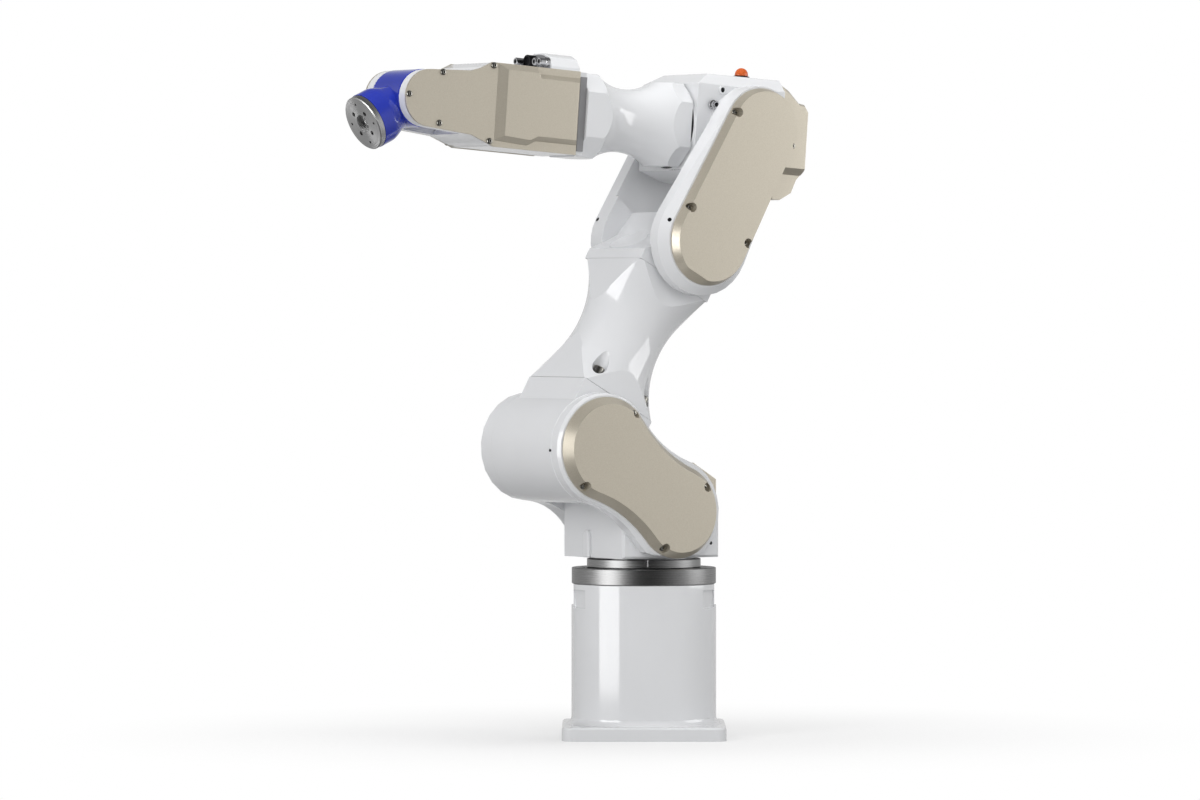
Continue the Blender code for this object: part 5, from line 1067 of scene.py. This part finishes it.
def elbow_details():
    """Port and air fittings of the near face, the dark seal of the forearm, and the stepped rear cover; the port's
    hole and a small hole are dark discs of painted shade.
    """
    near = (0, 1, 0)
    port = turned("port_boss", PORT_PROFILE, facing(ELBOW, PORT_PLACE, near), steps=SMALL_ROUND, looped=True)
    dress(port, "elbow", "white_paint")
    hole_shade_disc("port_hole", PORT_HOLE, ELBOW, "elbow")
    reach = ELBOW_FITTING_REACH
    air_fitting("elbow_fitting_upper", ELBOW_FITTING_UPPER, near, reach, ELBOW, "elbow", "elbow_air_fitting")
    air_fitting("elbow_fitting_lower", ELBOW_FITTING_LOWER, near, reach, ELBOW, "elbow")
    hole_shade_disc("elbow_hole", ELBOW_HOLE, ELBOW, "elbow")
    seal = turned("forearm_seal", ring_profile(*FOREARM_SEAL), ELBOW, "X", looped=True)
    dress(seal, "elbow", "black_plastic")
    outline = np.array(COVER_STEP_OUTLINE)
    step = lofted("step", [(outline, level) for level in COVER_STEP_DEPTH], ELBOW, "X")
    recut("elbow_rear_cover", "cover_satin", cutters=[step])


def wrist_details():
    """Grey end plate behind the near cover, and the connector housing's arched front with its fittings; plate and
    arch are grey as painted shade.
    """
    # Grey plate on the near side behind the cover: painted shade of the end face there
    plate = block("wrist_end_shade_plate", *END_SHADE_PLATE, FOREARM)
    dress(plate, "forearm", "grey_plastic", edge=SMALL_EDGE)
    middle = CONNECTOR_MIDDLE[0]
    half = CONNECTOR_HALF[0]
    top = arc((0, 0), 1, 180 - CONNECTOR_ARCH_START, CONNECTOR_ARCH_START, ARCH_STEPS) * CONNECTOR_HALF
    left = (middle - half, CONNECTOR_FOOT)
    right = (middle + half, CONNECTOR_FOOT)
    arch = np.concatenate([[left], top + CONNECTOR_MIDDLE, [right]])
    # Thin grey arch over the housing's front: painted shade of that face
    front = lofted("connector_front_shade", [(arch, level) for level in CONNECTOR_LEVELS], FOREARM, "X")
    dress(front, "forearm", "grey_plastic")
    for number, (aside, height, reach, node) in enumerate(WRIST_FITTINGS, 1):
        place = (WRIST_FITTING_LEVEL, aside, height)
        air_fitting(f"wrist_fitting_{number}", place, (1, 0, 0), reach, FOREARM, "forearm", node)


def wrist_panels():
    """Raised rear panel of each wrist cover, lofted from foot to face, with a long slope at its front."""
    line = np.array(WRIST_PANEL_LINE)
    foot = WRIST_PANEL_MIDDLE + (line - WRIST_PANEL_MIDDLE) * WRIST_PANEL_SPREAD
    foot[line[:, 0] == line[:, 0].max(), 0] = WRIST_PANEL_FRONT
    for side, word in ((1, "near"), (-1, "far")):
        levels = ((foot, WRIST_COVER_FACE - WRIST_PANEL_SINK), (line, WRIST_PANEL_FACE))
        panel = lofted(f"wrist_panel_{word}", [(outline, side * level) for outline, level in levels], FOREARM)
        dress(panel, "forearm", "cover_satin", edge=SKIN_EDGE)


def wrist_screws():
    """Button screws of both wrist covers, heads outwards."""
    for number, spot in enumerate(WRIST_SCREWS, 1):
        for side, word in ((1, "near"), (-1, "far")):
            name = f"wrist_{word}_screw_{number}"
            button_screw(name, spot, side * WRIST_COVER_FACE, FOREARM, "forearm", outwards=side)


# Castings and other pieces carried over from the frame


def carried_pieces():
    """Skins of the CAD nodes that have no piece of their own, and the finishes of the hidden ones."""
    own = {"j2_belt_cover", "j3_belt_cover", "forearm_tube", "lower_arm_tube", "wrist_body", "tool_flange"}
    own |= {"j1_bearing_ring", "j1_output_flange", "base_casting", "elbow_yoke", "elbow_rear_cover"}
    own |= {"elbow_air_fitting", "wrist_air_fitting_1", "wrist_air_fitting_2"}
    hidden = ("motor", "pulley", "belt", "reducer", "bearing")
    for row in frame["record"]["subparts"]:
        node = row["node"]
        slot = row["material_slot"]
        if node in own or node.startswith("lower_arm_bolt"):
            continue
        if any(word in node for word in hidden):
            frame["nodes"][node].data.materials.clear()
            frame["nodes"][node].data.materials.append(finishes[slot])
            continue
        painted = slot in ("white_paint", "cover_satin", "wrist_blue")
        recut(node, slot, CASTING_EDGE if painted else SMALL_EDGE)


# Studio


def white_floor():
    """Floor that is white to the camera, except for the object's soft shadow, which fades with distance."""
    mesh = bpy.data.meshes.new("floor")
    corners = [(x * FLOOR_HALF, y * FLOOR_HALF, 0.0) for x, y in ((-1, -1), (1, -1), (1, 1), (-1, 1))]
    mesh.from_pydata(corners, [], [(0, 1, 2, 3)])
    floor = scene_object("floor", mesh)
    material, tree, output, place = new_material("white_sweep")
    card = add_node(tree, "ShaderNodeBsdfDiffuse", {"Color": linear("C4C4C4")})
    bright_card = add_node(tree, "ShaderNodeBsdfDiffuse", {"Color": linear("F2F2F2")})
    glow = add_node(tree, "ShaderNodeEmission", {"Color": (1, 1, 1, 1), "Strength": 1.0})
    rays = add_node(tree, "ShaderNodeLightPath")
    away = add_node(tree, "ShaderNodeVectorMath", {"operation": "LENGTH"}, {0: place})
    shaded = add_node(
        tree,
        "ShaderNodeMapRange",
        {
            "interpolation_type": "SMOOTHSTEP",
            "From Min": SHADOW_FULL,
            "From Max": SHADOW_END,
            "To Min": SHADOW_SHARE,
            "To Max": 0.0,
        },
        {"Value": away.outputs["Value"]},
    )
    seen = add_node(
        tree,
        "ShaderNodeMixShader",
        None,
        {0: shaded.outputs["Result"], 1: glow.outputs[0], 2: bright_card.outputs[0]},
    )
    surface = add_node(
        tree,
        "ShaderNodeMixShader",
        None,
        {0: rays.outputs["Is Camera Ray"], 1: card.outputs[0], 2: seen.outputs[0]},
    )
    tree.links.new(surface.outputs[0], output.inputs["Surface"])
    mesh.materials.append(material)
    floor.visible_glossy = False


def white_world():
    """White to the camera, even for soft light, and to mirrors bright behind the arm and dim before it."""
    world = bpy.data.worlds.new("studio")
    world.use_nodes = True
    bpy.context.scene.world = world
    tree = world.node_tree
    tree.nodes.clear()
    rays = add_node(tree, "ShaderNodeLightPath").outputs
    direction = add_node(tree, "ShaderNodeTexCoord").outputs["Generated"]
    parts = add_node(tree, "ShaderNodeSeparateXYZ", None, {"Vector": direction}).outputs
    behind = add_node(
        tree,
        "ShaderNodeMapRange",
        {
            "interpolation_type": "SMOOTHSTEP",
            "From Min": MIRROR_FADE[0],
            "From Max": MIRROR_FADE[1],
            "To Min": MIRROR_BEFORE,
            "To Max": MIRROR_BEHIND,
        },
        {"Value": parts["Y"]},
    )
    steepness = add_node(tree, "ShaderNodeMath", {"operation": "ABSOLUTE"}, {0: parts["Z"]})
    above = add_node(
        tree,
        "ShaderNodeMapRange",
        {
            "interpolation_type": "SMOOTHSTEP",
            "From Min": STEEP_FADE[0],
            "From Max": STEEP_FADE[1],
            "To Min": 1.0,
            "To Max": STEEP_SHARE,
        },
        {"Value": steepness.outputs[0]},
    )
    room = add_node(
        tree,
        "ShaderNodeMath",
        {"operation": "MULTIPLY"},
        {0: behind.outputs["Result"], 1: above.outputs["Result"]},
    )
    white = {"Color": (1, 1, 1, 1), "Strength": 1.0}
    plain = add_node(tree, "ShaderNodeBackground", white)
    soft = add_node(tree, "ShaderNodeBackground", {**white, "Strength": SOFT_STRENGTH})
    mirror = add_node(tree, "ShaderNodeBackground", white, {"Strength": room.outputs[0]})
    glossy = add_node(
        tree,
        "ShaderNodeMixShader",
        None,
        {0: rays["Is Glossy Ray"], 1: soft.outputs[0], 2: mirror.outputs[0]},
    )
    clear = add_node(
        tree,
        "ShaderNodeMath",
        {"operation": "MAXIMUM"},
        {0: rays["Is Camera Ray"], 1: rays["Is Transmission Ray"]},
    )
    shown = add_node(
        tree,
        "ShaderNodeMixShader",
        None,
        {0: clear.outputs[0], 1: glossy.outputs[0], 2: plain.outputs[0]},
    )
    add_node(tree, "ShaderNodeOutputWorld", None, {"Surface": shown.outputs[0]})


def softboxes():
    """Rectangular lamps that face the arm, of power radiance * pi * area."""
    for name, place, (width, height), radiance, mirrored, lit in LIGHTS:
        light = bpy.data.lights.new(name, "AREA")
        light.shape = "RECTANGLE"
        light.size = width
        light.size_y = height
        light.energy = radiance * math.pi * width * height
        lamp = scene_object(name, light)
        lamp.location = place
        lamp.visible_glossy = mirrored
        lamp.visible_diffuse = lit
        lamp.rotation_euler = (Vector(AIM) - Vector(place)).to_track_quat("-Z", "Y").to_euler()


def fitted_camera():
    """Camera of the photograph: a long lens, nearly level."""
    camera = bpy.data.cameras.new("camera")
    camera.lens = CAMERA_LENS
    camera.sensor_width = SENSOR_WIDTH
    camera.clip_end = CAMERA_REACH
    stand = scene_object("camera", camera)
    stand.location = CAMERA_PLACE
    stand.rotation_euler = (math.radians(90 - CAMERA_DOWN), 0, 0)
    bpy.context.scene.camera = stand


def studio():
    """White floor and world, soft fill lights, and on each side a panel that only mirrors show."""
    bpy.context.scene.view_settings.view_transform = "Standard"
    white_floor()
    white_world()
    softboxes()
    fitted_camera()


studio()
belt_covers()
carried_pieces()
waist_tube()
forearm_tube()
steel_rings()
blue_wrist()
tool_flange()
base_tower()
shoulder_details()
yoke()
elbow_details()
wrist_details()
wrist_panels()
wrist_screws()

bpy.context.view_layer.update()
